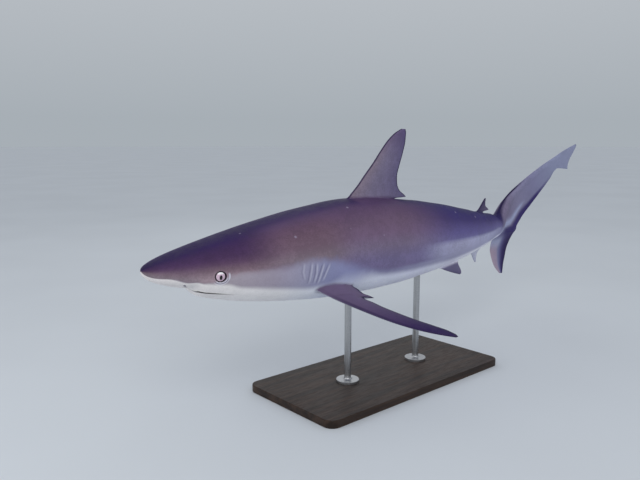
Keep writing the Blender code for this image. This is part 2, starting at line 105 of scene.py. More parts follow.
# ---- eyes, mouth, gills ----
EYE_STATION = 7.6
EYE_LEVEL = -0.08
EYE_TURN = 12  # degrees forward of straight out
EYE_RADIUS = 0.016  # m, along the head
EYE_DEPTH_RADIUS = 0.011  # m, across it
EYE_BULGE = 0.002  # m
EYE_RINGS = 40
EYE_SIDES = 72
CORNEA = 0.0007  # m, how far the clear cornea stands out of the ball
CORNEA_EDGE = (0.0105, 0.004)  # m, radii over which it rises
SOCKET_GAP = 0.0003  # m, room round the ball
SOCKET_RINGS = 26
SOCKET_REACH = 0.006  # m, how far the tool that cuts the socket passes the ball
LID = (0.001, 0.0004)  # m, thickness of the lids and how far their edge opens outwards
EYE_RING = 12.9  # mm, radius of the dark margin of the lids
IRIS_BACK = 0.9  # mm, how far behind the eye's middle the iris lies
PUPIL_BACK = 1.3  # mm, the same for the pupil
PUPIL_DOWN = 1.8  # mm, how far the pupil lies below the eye's middle
# raised margin and folds of the lids: where, height, radius and softness in mm
EYE_FOLDS = (("round", 0.9, 15.0, 2.4), ("below", -0.7, 18.2, 2.2), ("below", 0.5, 21.5, 2.4),
             ("behind", 0.7, 19.5, 2.4), ("behind", -0.5, 24.0, 2.4))
# station and degrees round from the back, from the midline to the corner
MOUTH_PATH = ((5.5, 180), (5.53, 170), (5.65, 156), (5.76, 144), (5.97, 135.5), (6.3, 131),
              (7, 129), (8, 128.4), (9.5, 127.8), (11, 128.5))
MOUTH_FADE = (9.6, 10.8)  # stations over which its line dies out
OFF_MOUTH = 30  # mm, the distance given to all that lies farther from it
NOSTRIL = ((4.0, 3.1), (4.7, 2.2))  # outer and inner end, station and side
# each slit's pale edge: station and height at its top, middle and bottom
GILL_SLITS = (((17.9, 0.83), (17.83, -0.27), (18.23, -1.30)),
              ((19.05, 0.78), (18.97, -0.50), (18.97, -1.81)),
              ((19.79, 0.67), (19.83, -0.59), (19.76, -1.79)),
              ((20.81, 0.58), (20.53, -0.60), (20.35, -1.97)),
              ((21.74, 0.50), (21.29, -0.63), (21.05, -1.61)))
GILL_STRENGTHS = (0.35, 0.8, 0.9, 1.0, 0.8)  # how deep and dark each is

# ---- fins ----
# height, leading edge, trailing edge, half thickness; a root is the stretch of spine it follows
DORSAL_ROWS = ((6.6, 29.2, 39.3, 0.62), (7.6, 29.5, 39.5, 0.56), (7.85, 29.9, 42.2, 0.50),
               (8.2, 30.3, 41.7, 0.46), (8.8, 31.0, 40.7, 0.42), (9.7, 31.9, 40.1, 0.38),
               (11, 33.0, 39.9, 0.34), (12.8, 34.6, 40.3, 0.28), (14.6, 36.0, 40.8, 0.22),
               (16.2, 37.4, 41.1, 0.16), (17.3, 38.8, 41.1, 0.11), (17.9, 40.0, 40.9, 0.05))
DORSAL_ROOT = (30, 39.5)
SECOND_DORSAL_ROWS = ((3.2, 61.8, 65.6, 0.30), (4.35, 62.3, 65.8, 0.26), (4.5, 62.9, 68.8, 0.22),
                      (4.8, 63.5, 68.2, 0.18), (5.4, 64.4, 66.9, 0.14), (6.1, 65.3, 66.7, 0.10),
                      (6.7, 66.2, 66.8, 0.05))
SECOND_DORSAL_ROOT = (62.5, 66.0)
ANAL_ROWS = ((-1.1, 61.0, 64.6, 0.30), (-2.05, 61.4, 64.8, 0.26), (-2.25, 61.7, 67.0, 0.22),
             (-2.6, 62.1, 66.0, 0.18), (-3.2, 62.8, 65.1, 0.14), (-4.0, 63.6, 64.9, 0.10),
             (-4.7, 64.5, 65.0, 0.05))
ANAL_ROOT = (61.8, 64.8)
# along the lobe's line, front edge over it, rear edge below it, half thickness of the web
UPPER_LOBE_ROWS = ((-1.2, -0.5, 3.6, 0.62), (0.6, 0.25, 4.6, 0.60), (2.6, 0.85, 6.0, 0.55),
                   (5.0, 0.95, 7.9, 0.48), (6.6, 0.85, 7.2, 0.44), (8.6, 0.7, 6.3, 0.40),
                   (11.5, 0.55, 5.5, 0.34), (15, 0.5, 4.4, 0.27), (18.5, 0.5, 3.1, 0.22),
                   (20.2, 0.45, 2.2, 0.20), (21.1, 0.45, 2.15, 0.18), (22.3, 0.45, 2.9, 0.15),
                   (23.2, 0.45, 3.55, 0.13), (23.5, 0.45, 2.9, 0.12), (24.2, 0.45, 2.1, 0.11),
                   (25.4, 0.4, 1.25, 0.08), (26.4, 0.32, 0.6, 0.06), (27.0, 0.28, 0.12, 0.05))
LOWER_LOBE_ROWS = ((1.2, 75.0, 83.6, 0.50), (-0.2, 75.0, 83.8, 0.47), (-1.4, 75.3, 83.1, 0.43),
                   (-3, 75.9, 82.7, 0.36), (-4.6, 76.7, 82.4, 0.29), (-6.2, 77.8, 82.2, 0.22),
                   (-7.6, 79.0, 82.0, 0.15), (-8.7, 80.3, 82.0, 0.09), (-9.5, 81.4, 82.0, 0.05))
LOWER_LOBE_BEND = -1.4  # how far sideways its leading edge gives way
LOWER_LOBE_REAR_BEND = 0.8  # the trailing edge's share of that
# share of the span, chord from the leading edge, half thickness
PECTORAL_CHORDS = ((-0.12, 4.4, 0.75), (0, 5.0, 0.75), (0.06, 6.1, 0.62), (0.1, 6.35, 0.50),
                   (0.111, 7.2, 0.46), (0.119, 8.1, 0.44), (0.127, 6.8, 0.43), (0.137, 5.45, 0.42),
                   (0.16, 5.15, 0.40), (0.22, 5.15, 0.37), (0.3, 4.95, 0.34), (0.4, 4.9, 0.31),
                   (0.55, 4.75, 0.25), (0.7, 4.35, 0.19), (0.84, 3.3, 0.13), (0.94, 1.9, 0.08),
                   (1, 0.6, 0.05))
PECTORAL = dict(root=(20.5, 4.9, -2.9), span=19.4, sweep=((0, 37.9), (0.5, 44.9), (1, 57.4)),
                droop=((0, 28.9), (0.5, 25.4), (1, 13.6)), toe=0,
                tilt=((-0.12, 6), (0, 3.4), (0.105, -5.2), (0.119, -8.4), (0.13, -6.6), (0.4, -5.7),
                      (1, -2.7)),
                follows=(22, 25), chords=PECTORAL_CHORDS)
PELVIC_CHORDS = ((-0.35, 3.4, 0.30), (0, 4.2, 0.30), (0.2, 5.0, 0.25), (0.32, 6.0, 0.20),
                 (0.45, 4.5, 0.17), (0.66, 3.1, 0.13), (0.86, 1.8, 0.09), (1, 0.6, 0.05))
PELVIC = dict(root=(46.8, 2.7, -2.75), span=4.7, sweep=((0, 50), (1, 58)), droop=((0, 36), (1, 22)),
              toe=10, tilt=((0, 8), (1, 8)), follows=(48, 51), chords=PELVIC_CHORDS)
SPAN_STEPS = 40
EDGE = 0.0004  # m, half thickness left at every fin's edges
FIN_POINTS = 30  # points from the leading to the trailing edge
FIN_ROW_SPACING = 0.33  # hundredths of the length
SEAM_GAP = 0.00001  # m, points of a seam lie farther than this from every drawn one
SEAM_REACH = 0.016  # m, how far a fin's root is rounded into the body
SEAM_ROUNDS = 24
RIM_REACH = (0.0022, 0.0006)  # m from the lids' edge over which its rounding sets in
RIM_ROUNDS = 3
MERGE = 0.00005  # m, points closer than this become one
SEAM_BLEND = (-0.004, 0.011)  # m past the seam over which the fin's colour begins
PECTORAL_SEAM = (23.5, 5.5)  # station of the pectoral fins' root and half its length
PECTORAL_SPREAD = 0.009  # m, how much farther its colours blend

# ---- markings ----
# station, how far round from the back (0) to the belly (1) the edge lies, how soft it is
DARK_EDGE = ((0, 0.65, 0.03), (0.6, 0.63, 0.02), (1.5, 0.597, 0.012), (2.4, 0.57, 0.011),
             (2.9, 0.57, 0.011), (3.5, 0.596, 0.011), (4.2, 0.619, 0.011), (5, 0.614, 0.012),
             (5.6, 0.598, 0.013), (6.2, 0.575, 0.014), (7, 0.562, 0.02), (7.6, 0.535, 0.03),
             (8.8, 0.505, 0.024), (10, 0.490, 0.025), (11.8, 0.491, 0.028), (14.2, 0.486, 0.032),
             (15.8, 0.481, 0.036), (17.3, 0.464, 0.040), (19.5, 0.455, 0.04), (22, 0.475, 0.04),
             (25, 0.515, 0.04), (29, 0.565, 0.03), (32.5, 0.593, 0.025), (35.5, 0.60, 0.022),
             (40, 0.60, 0.02), (45, 0.59, 0.02), (51, 0.575, 0.025), (58, 0.56, 0.03),
             (76, 0.56, 0.03), (100, 0.56, 0.03))
WHITE_EDGE = ((0, 0.66, 0.02), (2.4, 0.58, 0.012), (4.2, 0.632, 0.012), (5.4, 0.618, 0.015),
              (6.4, 0.585, 0.02), (8.4, 0.585, 0.022),
              (10.2, 0.617, 0.028), (12.1, 0.622, 0.032), (15, 0.64, 0.035), (19.2, 0.665, 0.038),
              (22, 0.655, 0.05), (25, 0.615, 0.08), (29, 0.615, 0.06), (32.5, 0.635, 0.035),
              (38, 0.655, 0.035), (45, 0.665, 0.04), (52, 0.68, 0.04), (62, 0.67, 0.04),
              (76, 0.66, 0.04), (100, 0.66, 0.04))
# the pale wedge along the rear flank: where it starts and ends round the body, and its stations
WEDGE = dict(top=(0.463, 0.493), low_stations=(38, 50), low=(0.575, 0.60), soft=0.012,
             grows=(39, 46), ends=(70, 75))
# colours of the brown back by how far round they lie; in every table the darkest stops along the ridge
# of the back are partly its own dark colour and partly painted shade on the top
BACK_RIDGE_AND_SHADE = ((0, "#1e0842"), (0.12, "#29144b"), (0.22, "#3f2951"), (0.32, "#4a3355"))
SNOUT_BACK = (*BACK_RIDGE_AND_SHADE, (0.38, "#563f5a"), (0.44, "#6c5769"), (0.50, "#7d6a76"),
              (0.56, "#897a83"))
# the stations over which each of the others takes over: head, nape, shoulder and rear
BACKS = (((3.6, 7.2), (*BACK_RIDGE_AND_SHADE, (0.38, "#5b435d"), (0.44, "#78626f"), (0.50, "#98838d"),
                       (0.56, "#a8949c"))),
         ((10, 17), ((0, "#1c0942"), (0.08, "#352352"), (0.14, "#554060"), (0.20, "#614960"),
                     (0.28, "#6c5465"), (0.36, "#776070"), (0.44, "#83737f"), (0.52, "#7a6f88"))),
         ((21, 27), ((0, "#1c0942"), (0.08, "#352352"), (0.14, "#584264"), (0.20, "#614a67"),
                     (0.28, "#6b556d"), (0.36, "#755f79"), (0.44, "#7d6f88"), (0.52, "#7a7095"))),
         ((36, 52), ((0, "#1d1450"), (0.14, "#281e5f"), (0.22, "#352a69"), (0.28, "#3f346d"),
                     (0.34, "#544a80"), (0.42, "#675f95"), (0.48, "#76719f"))))
SNOUT_TIP = (0.2, 1.6)  # stations up to which the snout is a little darker
UNDER_DORSAL = (28.5, 31, 38.5, 41.5)  # where the back's dark stripe, with its painted shade, fades out and returns
STRIPE_SHARE = 0.13  # how far round the colour that takes its place lies
# colours along the flank under the brown, and along the belly, by station
SIDE_SHADES = ((8, "#a79da6"), (14, "#a49bab"), (18, "#a19eb6"), (22, "#9193b7"), (26, "#9193bb"),
               (32, "#8c8aad"), (42, "#9997b6"), (52, "#a9a7c4"), (62, "#b0b0cf"), (75, "#8b88b0"))
BELLY_SHADES = ((0, "#e6dfde"), (8, "#ebe6e5"), (15, "#f2eff0"), (20, "#eef0f9"), (25, "#d9dff6"),
                (29, "#edf0ff"), (42, "#e9eafe"), (52, "#f3f2ff"), (65, "#f6f4ff"), (75, "#d2d1ee"))
# the tail fin: along its upper lobe, and from front to rear across the lower one
TAIL_SHADES = ((0, "#756b87"), (3, "#7e738f"), (8, "#87829f"), (14, "#8583a3"), (20, "#9094b1"),
               (27, "#9599b5"))
LOWER_LOBE_SHADES = ((0, "#b39fb0"), (0.32, "#a898af"), (0.42, "#8786a8"), (0.56, "#676492"),
                     (0.68, "#4a4070"), (0.8, "#30235a"), (1, "#2a1a4c"))
TAIL_START = (72, 75.5)  # stations over which the tail fin's colours begin
# tints laid over the tail fin; rear is painted shade on the web near its rear edge by the fork
TAIL_TINTS = dict(rear="#5f5786", streak="#a8adcd", band="#3a2f69", front="#251c45", root="#a9aecb")
# along the lobe's line: how far over it the pale streak runs, and how wide the streak, the dark
# band at the rear edge and the dark line at the front edge are
STREAK_OVER = ((-3, -2.9), (-1.3, -3.2), (2.6, -4.2), (4.9, -4.7), (7.9, -3.9), (9.9, -3.5))
STREAK_WIDTH = ((-2, 1.2), (2.6, 1.0), (7.9, 0.45), (9.9, 0.3))
BAND_WIDTH = ((1, 0.9), (3, 1.5), (5, 2.4), (8, 2.1), (11, 1.4), (17, 0.6))
FRONT_WIDTH = ((1, 0.85), (5, 0.5))
# the other fins: colours across the root and across the tip, the reach over which they blend,
# how dark the lines along the leading and trailing edges are, and their width in mm
FIN_SHADES = {
    "dorsal_first": (((0, "#8a7c8a"), (0.35, "#817891"), (0.7, "#776e8c"), (1, "#696184")),
                     ((0, "#6d5e80"), (1, "#5f527c")), (0.5, 1.0), 0.9, 0.8, 5.5),
    "dorsal_second": (((0, "#3c3059"), (0.3, "#574d6e"), (1, "#665c7a")),
                      ((0, "#2a1f47"), (1, "#483d63")), (0.4, 1.0), 0.8, 0.5, 5.5),
    "anal": (((0, "#c9cadb"), (1, "#d3d3e3")), ((0, "#b7b8d0"), (1, "#c3c3d8")), (0.2, 1), 0.1, 0.2, 5),
    "pectoral": (((0, "#6a5a78"), (0.5, "#6f5f7f"), (1, "#6f627c")),
                 ((0, "#2e1850"), (1, "#24124a")), (0.12, 0.85), 0.65, 0.95, 13),
    "pelvic": (((0, "#7d7996"), (1, "#6b6685")), ((0, "#55506f"), (1, "#6b6584")), (0, 1), 0.2, 0, 5),
}
FIN_EDGE = "#2b2045"
PAIRED_FIN_UNDERSIDE = "#b9bac8"


# ---- curves ----
def smooth(knots, bend=lambda x: x):
    """A natural cubic curve through the knots, spaced by bend(x), as a function of x."""
    x = bend(np.array([knot[0] for knot in knots], float))
    y = np.array([knot[1] for knot in knots], float)
    step = np.diff(x)
    slope = np.diff(y) / step
    matrix = np.eye(len(x))
    right = np.zeros(len(x))
    for i in range(1, len(x) - 1):
        matrix[i, i - 1:i + 2] = step[i - 1], 2 * (step[i - 1] + step[i]), step[i]
        right[i] = 6 * (slope[i] - slope[i - 1])
    curve = np.linalg.solve(matrix, right)

    def at(value):
        t = bend(np.asarray(value, float))
        i = np.clip(np.searchsorted(x, t) - 1, 0, len(step) - 1)
        after = t - x[i]
        before = x[i + 1] - t
        return ((curve[i] * before ** 3 + curve[i + 1] * after ** 3) / (6 * step[i])
                + (y[i] / step[i] - curve[i] * step[i] / 6) * before
                + (y[i + 1] / step[i] - curve[i + 1] * step[i] / 6) * after)
    return at


def tight(x, y):
    """A curve through the rows of y that never overshoots them, as a function of x."""
    x, y = np.asarray(x, float), np.asarray(y, float)
    step = np.diff(x)[:, None]
    slope = np.diff(y, axis=0) / step
    product = slope[:-1] * slope[1:]
    total = slope[:-1] + slope[1:]
    inner = np.where(product > 0, 2 * product / np.where(total == 0, 1, total), 0)
    tangent = np.concatenate([slope[:1], inner, slope[-1:]])

    def at(value):
        value = np.asarray(value, float)
        i = np.clip(np.searchsorted(x, value) - 1, 0, len(step) - 1)
        h = step[i]
        t = (value - x[i])[:, None] / h
        return ((1 + 2 * t) * (1 - t) ** 2 * y[i] + t * (1 - t) ** 2 * h * tangent[i]
                + t * t * (3 - 2 * t) * y[i + 1] + t * t * (t - 1) * h * tangent[i + 1])
    return at


def eased(start, end, value):
    """0 at the start, 1 at the end and level beyond them; the start may be the larger."""
    share = np.clip((np.asarray(value, float) - start) / (end - start), 0, 1)
    return share * share * (3 - 2 * share)


def middles(values):
    """The values halfway between neighbours."""
    return (values[1:] + values[:-1]) / 2


def running_total(steps):
    """The totals before the first step and after each one."""
    return np.concatenate([[0 * steps[0]], np.cumsum(steps, axis=0)])


def strides(points):
    """How far each point lies from the one before it."""
    return np.linalg.norm(np.diff(points, axis=0), axis=1)


def between(knots, value):
    """What lies between knots, each a place and a number, at a value."""
    return np.interp(value, *zip(*knots))


def between_rows(places, rows, value):
    """What lies between the rows of a table, column by column, at a value."""
    return np.stack([np.interp(value, places, column) for column in np.transpose(rows)], axis=-1)


def hill(value, middle, width):
    """1 at the middle, falling off on both sides over the width."""
    return np.exp(-((np.asarray(value, float) - middle) / width) ** 2)


heading = smooth(SPINE_TURN)
back_line = smooth(BACK_LINE, np.sqrt)
belly_line = smooth(BELLY_LINE, np.sqrt)
half_width = smooth(HALF_WIDTH, np.sqrt)
widest_level = smooth(WIDEST_LEVEL, np.sqrt)


def walk_spine():
    """Stations along the spine with the x and y they reach, in hundredths, PIVOT at 0, 0."""
    stations = np.linspace(0, 100, SPINE_STEPS + 1)
    turn = np.radians(heading(stations))
    x, y = [running_total(middles(part) * np.diff(stations)) for part in (np.cos(turn), np.sin(turn))]
    return stations, x - np.interp(PIVOT, stations, x), y - np.interp(PIVOT, stations, y)


SPINE = walk_spine()


def pose(points, follows=None):
    """World points in metres for straight-animal points.  A fin stays stiff beyond the two
    stations that it follows along the spine."""
    s, v, z = np.moveaxis(np.asarray(points, float), -1, 0)
    place = s if follows is None else np.clip(s, *follows)
    turn = np.radians(heading(place))
    stations, spine_x, spine_y = SPINE
    beyond = s - place
    x = np.interp(place, stations, spine_x) + beyond * np.cos(turn) + v * np.sin(turn)
    y = np.interp(place, stations, spine_y) + beyond * np.sin(turn) - v * np.cos(turn)
    bank, lift = radians(BANK), radians(NOSE_UP)
    y, z = y * cos(bank) - z * sin(bank), y * sin(bank) + z * cos(bank)
    x, z = x * cos(lift) + z * sin(lift), z * cos(lift) - x * sin(lift)
    return np.stack([x * UNIT, y * UNIT, z * UNIT + AXIS_HEIGHT], axis=-1)


# ---- meshes ----
def new_object(name, points, faces):
    """An object from points and faces, its faces turned outwards and shaded smooth."""
    mesh = bpy.data.meshes.new(name)
    mesh.from_pydata(np.asarray(points).reshape(-1, 3).tolist(), [], faces)
    work = bmesh.new()
    work.from_mesh(mesh)
    bmesh.ops.recalc_face_normals(work, faces=work.faces)
    work.to_mesh(mesh)
    work.free()
    mesh.shade_smooth()
    made = bpy.data.objects.new(name, mesh)
    bpy.context.scene.collection.objects.link(made)
    return made


def bands(first, rings, count):
    """Quads between neighbouring closed rings of equal count, the first starting at an index."""
    return [(low + j, low + (j + 1) % count, low + count + (j + 1) % count, low + count + j)
            for low in range(first, first + (rings - 1) * count, count) for j in range(count)]


def coarser_band(first, second, count):
    """Faces from a ring of twice the count to one of the count."""
    faces = []
    for j in range(count):
        here, there = second + j, second + (j + 1) % count
        middle, after = first + 2 * j + 1, first + (2 * j + 2) % (2 * count)
        faces += [(first + 2 * j, middle, here), (middle, after, there, here)]
    return faces


def lathe(profile):
    """A turned solid's points and faces; its radii and heights start and end on its axis."""
    (_, low), *rings, (_, high) = profile
    angles = np.linspace(0, 2 * np.pi, EYE_SIDES, endpoint=False)
    points = [(0, 0, low)]
    for radius, height in rings:
        points += [(radius * cos(a), radius * sin(a), height) for a in angles]
    top = len(points)
    last = top - EYE_SIDES
    around = [(j, (j + 1) % EYE_SIDES) for j in range(EYE_SIDES)]
    faces = [(0, 1 + a, 1 + b) for a, b in around] + bands(1, len(rings), EYE_SIDES)
    faces += [(last + a, last + b, top) for a, b in around]
    return np.array([*points, (0, 0, high)]), faces


def combine(target, steps):
    """Join solids to the target or cut them out of it, in order, and take them away."""
    for operation, tool in steps:
        made = target.modifiers.new(tool.name, "BOOLEAN")
        made.operation = operation
        made.solver = "EXACT"
        made.object = tool
    evaluated = target.evaluated_get(bpy.context.evaluated_depsgraph_get())
    mesh = bpy.data.meshes.new_from_object(evaluated)
    old = target.data
    target.modifiers.clear()
    target.data = mesh
    mesh.name = target.name
    bpy.data.meshes.remove(old)
    for _, tool in steps:
        bpy.data.objects.remove(tool, do_unlink=True)


def points_of(mesh):
    """The points of a mesh as an array."""
    points = np.empty(len(mesh.vertices) * 3, np.float32)
    mesh.vertices.foreach_get("co", points)
    return points.reshape(-1, 3).astype(float)


def nearest(points, wanted):
    """For each wanted point the index of the nearest of the points, and how far it is."""
    tree = KDTree(len(points))
    for i, point in enumerate(points):
        tree.insert(point, i)
    tree.balance()
    found = [tree.find(point)[1:] for point in wanted]
    return np.array([f[0] for f in found]), np.array([f[1] for f in found])


def relax(mesh, weight, rounds):
    """Smooth a mesh by moving each point towards its neighbours' middle, by its weight."""
    edges = np.empty(len(mesh.edges) * 2, np.int32)
    mesh.edges.foreach_get("vertices", edges)
    a, b = edges.reshape(-1, 2).T
    keep = (weight[a] > 0) | (weight[b] > 0)
    a, b = a[keep], b[keep]
    points = points_of(mesh)
    count = np.bincount(a, minlength=len(points)) + np.bincount(b, minlength=len(points))
    count = np.maximum(count, 1)[:, None]
    for _ in range(rounds):
        middle = np.stack([np.bincount(a, points[b, i], len(points))
                           + np.bincount(b, points[a, i], len(points)) for i in range(3)], -1) / count
        points += (middle - points) * weight[:, None] * 0.5
    mesh.vertices.foreach_set("co", points.astype(np.float32).ravel())
    mesh.update()


# ---- body ----
def lobe_point(along, over):
    """Station and height of a point on the upper lobe's line or over it."""
    rise = radians(LOBE_RISE)
    return (LOBE_ORIGIN[0] + along * cos(rise) - over * sin(rise),
            LOBE_ORIGIN[1] + along * sin(rise) + over * cos(rise))


def tail_core():
    """Curves of the tail's muscle over the station: top s and z, bottom s and z, half width."""
    rows = []
    for station in (62, 66, 70):
        rows.append((station, station, float(back_line(station)), station,
                     float(belly_line(station)), float(half_width(station))))
    for along, over, under, width in TAIL_CORE:
        rows.append((LOBE_ORIGIN[0] + along, *lobe_point(along, over), *lobe_point(along, -under),
                     width))
    return [smooth([(row[0], row[i]) for row in rows]) for i in range(1, 6)]


CORE_CURVES = tail_core()


def body_points(station, angle):
    """Points of the straight body; angle runs from the back down the left side, in radians."""
    station, angle = np.broadcast_arrays(np.asarray(station, float), np.asarray(angle, float))
    capped = np.minimum(station, BODY_END)
    share = eased(*TAIL_CORE_BLEND, station)
    plain = (station, back_line(capped), station, belly_line(capped), half_width(capped))
    core = [curve(np.maximum(station, 62)) for curve in CORE_CURVES]
    top_s, top_z, low_s, low_z, width = [a + (b - a) * share for a, b in zip(plain, core)]
    level = (widest_level(capped) - belly_line(capped)) / (back_line(capped) - belly_line(capped))
    side, up = np.sin(angle), np.cos(angle)
    power = np.where(up >= 0, BACK_POWER, BELLY_POWER)
    lift = np.sign(up) * np.abs(up) ** (2 / power) * np.where(up >= 0, 1 - level, level)
    v = np.sign(side) * width * np.abs(side) ** (2 / power)
    s = low_s + (top_s - low_s) * (level + lift)
    z = low_z + (top_z - low_z) * (level + lift)
    return np.stack([s, v, z], axis=-1)


def ring_stations():
    """Stations of the skin's rings, walked from the snout with a spacing that varies."""
    places, steps = zip(*RING_SPACING)
    stations = [places[0]]
    while stations[-1] < places[-1]:
        stations.append(stations[-1] + float(np.interp(stations[-1], places, steps)))
    return np.array(stations)


def side_angles():
    """Angles of the lines down one side, closer together in the band of eye, mouth and gills."""
    angle = np.linspace(0, np.pi, 2001)
    low, high, soft = np.radians((*SIDE_BAND, 9))
    density = 1 + (SIDE_BAND_GAIN - 1) * (eased(low - soft, low + soft, angle)
                                          - eased(high - soft, high + soft, angle))
    total = running_total(middles(density))
    return np.interp(np.linspace(0, total[-1], SIDE_LINES + 1), total, angle)


def line_angles(station):
    """Angles of every line round the body at a station, left side first."""
    fine = side_angles()
    even = np.linspace(0, np.pi, SIDE_LINES + 1)
    share = float(eased(*EVEN_LINES, station))
    side = fine + (even - fine) * share
    return np.concatenate([side, 2 * np.pi - side[-2:0:-1]])


def mouth_curve():
    """Points on the straight body along the left half of the mouth, from the midline back."""
    along = np.linspace(0, len(MOUTH_PATH) - 1, 260)
    station, angle = [smooth(list(enumerate(values)))(along) for values in zip(*MOUTH_PATH)]
    return body_points(station, np.radians(np.minimum(angle, 180))), station, angle


def relief(points, angle, depths):
    """How far the skin's small forms stand out of the plain body, in metres, with the share of
    each point that lies in a crease and on a pale ridge, and its distance below the mouth's
    line in mm."""
    s, side, z = points[..., 0], np.abs(points[..., 1]), points[..., 2]
    degrees = np.degrees(np.where(angle > np.pi, 2 * np.pi - angle, angle))
    out, crease, ridge = np.zeros((3, *s.shape))
    mouth = np.full(s.shape, -float(OFF_MOUTH))

    # eye: a raised margin, a fold under and behind it, a brow and a hollow behind
    on_side = eased(50, 62, degrees) * eased(130, 118, degrees) * MM
    back, up = s - EYE_STATION, z - EYE_LEVEL
    reach = np.hypot(back, up) * UNIT / MM
    bearing = np.arctan2(up, back)
    where = {"round": 1, "below": eased(-0.2, 0.75, np.cos(bearing + radians(62))),
             "behind": eased(0.35, 0.95, np.cos(bearing - radians(8)))}
    for part, height, radius, soft in EYE_FOLDS:
        out += on_side * height * hill(reach, radius, soft) * where[part]
    out += on_side * 1.8 * hill(back, -0.2, 2.2) * hill(up, 1.25, 0.55)
    out -= on_side * 1.2 * hill(back, 2.4, 1.3) * hill(up, 0.2, 0.8)

    # mouth: a closed line with a rolled upper lip and the lower jaw set in behind it
    curve, curve_station, curve_angle = mouth_curve()
    near = (s > 3.8) & (s < 13) & (degrees > 105)
    flat = np.stack([s[near], side[near], z[near]], -1)
    gap = np.sqrt(((flat[:, None] - curve[None]) ** 2).sum(-1)).min(1) * UNIT / MM
    jaw = degrees[near] > np.interp(s[near], curve_station, curve_angle, left=400)
    fade = eased(*MOUTH_FADE[::-1], s[near]) * (0.3 + 0.7 * eased(5.6, 5.95, s[near]))
    late = eased(MOUTH_FADE[1] + 1, MOUTH_FADE[0] + 1, s[near])
    out[near] += np.where(jaw, -1.2 * (1 - np.exp(-gap / 8)) * np.exp(-gap / 70) * late,
                          0.5 * hill(gap, 3.6, 2.4) * fade) * MM
    out[near] -= depths.mouth_depth * hill(gap, 0, 1.7) * fade
    mouth[near] = np.clip(np.where(jaw, gap, -gap), -OFF_MOUTH, OFF_MOUTH)

    # nostrils: an oblique slit under the snout, wider at its outer end, with a small flap
    (outer_s, outer_v), (inner_s, inner_v) = NOSTRIL
    run = np.array([inner_s - outer_s, inner_v - outer_v])
    length = np.hypot(*run)
    under = eased(96, 108, degrees)
    along = ((s - outer_s) * run[0] + (side - outer_v) * run[1]) / length
    across = ((s - outer_s) * run[1] - (side - outer_v) * run[0]) / length
    past = np.maximum(np.maximum(-along, along - length), 0)
    away = np.hypot(across, past) * UNIT / MM
    slit = hill(away, 0, 1.5 + 0.9 * hill(along, 0.1, 0.3))
    flap = hill(along, length * 0.5, 0.3) * hill(across * UNIT / MM, -2.6, 1.5)
    out += under * MM * (-2.4 * slit + 0.7 * flap + 0.3 * hill(away, 4, 1.6))
    crease += under * slit

    # gill slits: a groove, and behind it the swollen edge of the next flap
    on_side = eased(60, 70, degrees) * eased(138, 128, degrees)
    for strong, slit in zip(GILL_STRENGTHS, GILL_SLITS):
        stations, heights = zip(*slit)
        share = (z - heights[2]) / (heights[0] - heights[2])
        off = s - np.interp(z, heights[::-1], stations[::-1])
        inside = on_side * eased(-0.12, 0.2, share) * eased(1.12, 0.8, share)
        out += inside * (0.6 * MM * hill(off, 0.04, 0.14)
                         - depths.gill_depth * strong * hill(off, -0.2, 0.1))
        crease += inside * strong * 0.5 * hill(off, -0.19, 0.12)
        ridge += inside * (0.3 + 0.7 * strong) * 0.85 * hill(off, 0.02, 0.11)

    # a low ridge between the dorsal fins, the pit before the tail fin and the vent
    between_fins = eased(42, 45, s) * eased(61.5, 59, s) * (degrees < 40)
    out += MM * 1.3 * hill(side * UNIT / MM, 0, 3.5) * between_fins
    out -= MM * 2.6 * hill(s, 73.0, 0.5) * eased(65, 30, degrees)
    vent = hill(side, 0, 0.13) * (degrees > 150) * eased(50.0, 50.5, s) * eased(52, 51.6, s)
    out -= MM * 2.2 * vent
    crease += vent

    # slow swellings of the muscles and the jaw's hinge
    waves = np.sin(s * 0.55 + 1.3 * np.cos(angle)) * np.sin(2 * angle + 0.21 * s)
    out += MM * 0.7 * waves * eased(9, 24, s)
    cheek = eased(60, 80, degrees) * eased(150, 118, degrees)
    out += MM * 1.6 * cheek * hill(s, 13.2, 1.9) * hill(z, -1.6, 1.5)
    return out, np.clip(crease, 0, 1), np.clip(ridge, 0, 1), mouth


def body_grid(stations, every, depths):
    """The skin's rings at these stations, using every so many lines, with what they carry."""
    angle = np.array([line_angles(station)[::every] for station in stations])
    flat = body_points(stations[:, None], angle)
    along = np.gradient(flat, axis=0)
    around = np.roll(flat, -1, axis=1) - np.roll(flat, 1, axis=1)
    normal = np.cross(along, around)
    normal /= np.linalg.norm(normal, axis=-1, keepdims=True)
    middle = flat.mean(axis=1, keepdims=True)
    normal *= np.sign((normal * (flat - middle)).sum(-1, keepdims=True))
    out, crease, ridge, mouth = relief(flat, angle, depths)
    place = flat + normal * (out / UNIT)[..., None]
    half = np.where(angle > np.pi, 2 * np.pi - angle, angle)
    carried = dict(rest=flat, round=half / np.pi, crease=crease, ridge=ridge, mouth=mouth)
    return place, carried


def make_body(depths):
    """The whole body with its small forms, and what each of its points carries."""
    stations = ring_stations()
    head, trunk = stations[stations <= HEAD_END], stations[stations > HEAD_END]
    fine, carried = body_grid(head, 1, depths)
    coarse, carried_on = body_grid(trunk, 2, depths)
    points = np.concatenate([fine.reshape(-1, 3), coarse.reshape(-1, 3), np.zeros((1, 3))])
    many, few = 2 * SIDE_LINES, SIDE_LINES
    start, end = len(head) * many, len(points) - 1
    faces = bands(0, len(head), many) + coarser_band(start - many, start, few)
    faces += bands(start, len(trunk), few) + [(end, (j + 1) % many, j) for j in range(many)]
    faces.append(tuple(range(end - few, end)))
    merged = {}
    for key, fore in carried.items():
        parts = [fore, carried_on[key], fore[0].mean(axis=0)]
        merged[key] = np.concatenate([part.reshape(-1, *fore.shape[2:]) for part in parts])
    return new_object("shark_skin", pose(points), faces), merged


# ---- fins ----
def foil(share):
    """Half thickness of a fin at a share of its chord, 1 at the thickest place."""
    return 1.75 * np.sqrt(share) * (1 - share) + 0.7 * share * (1 - share)


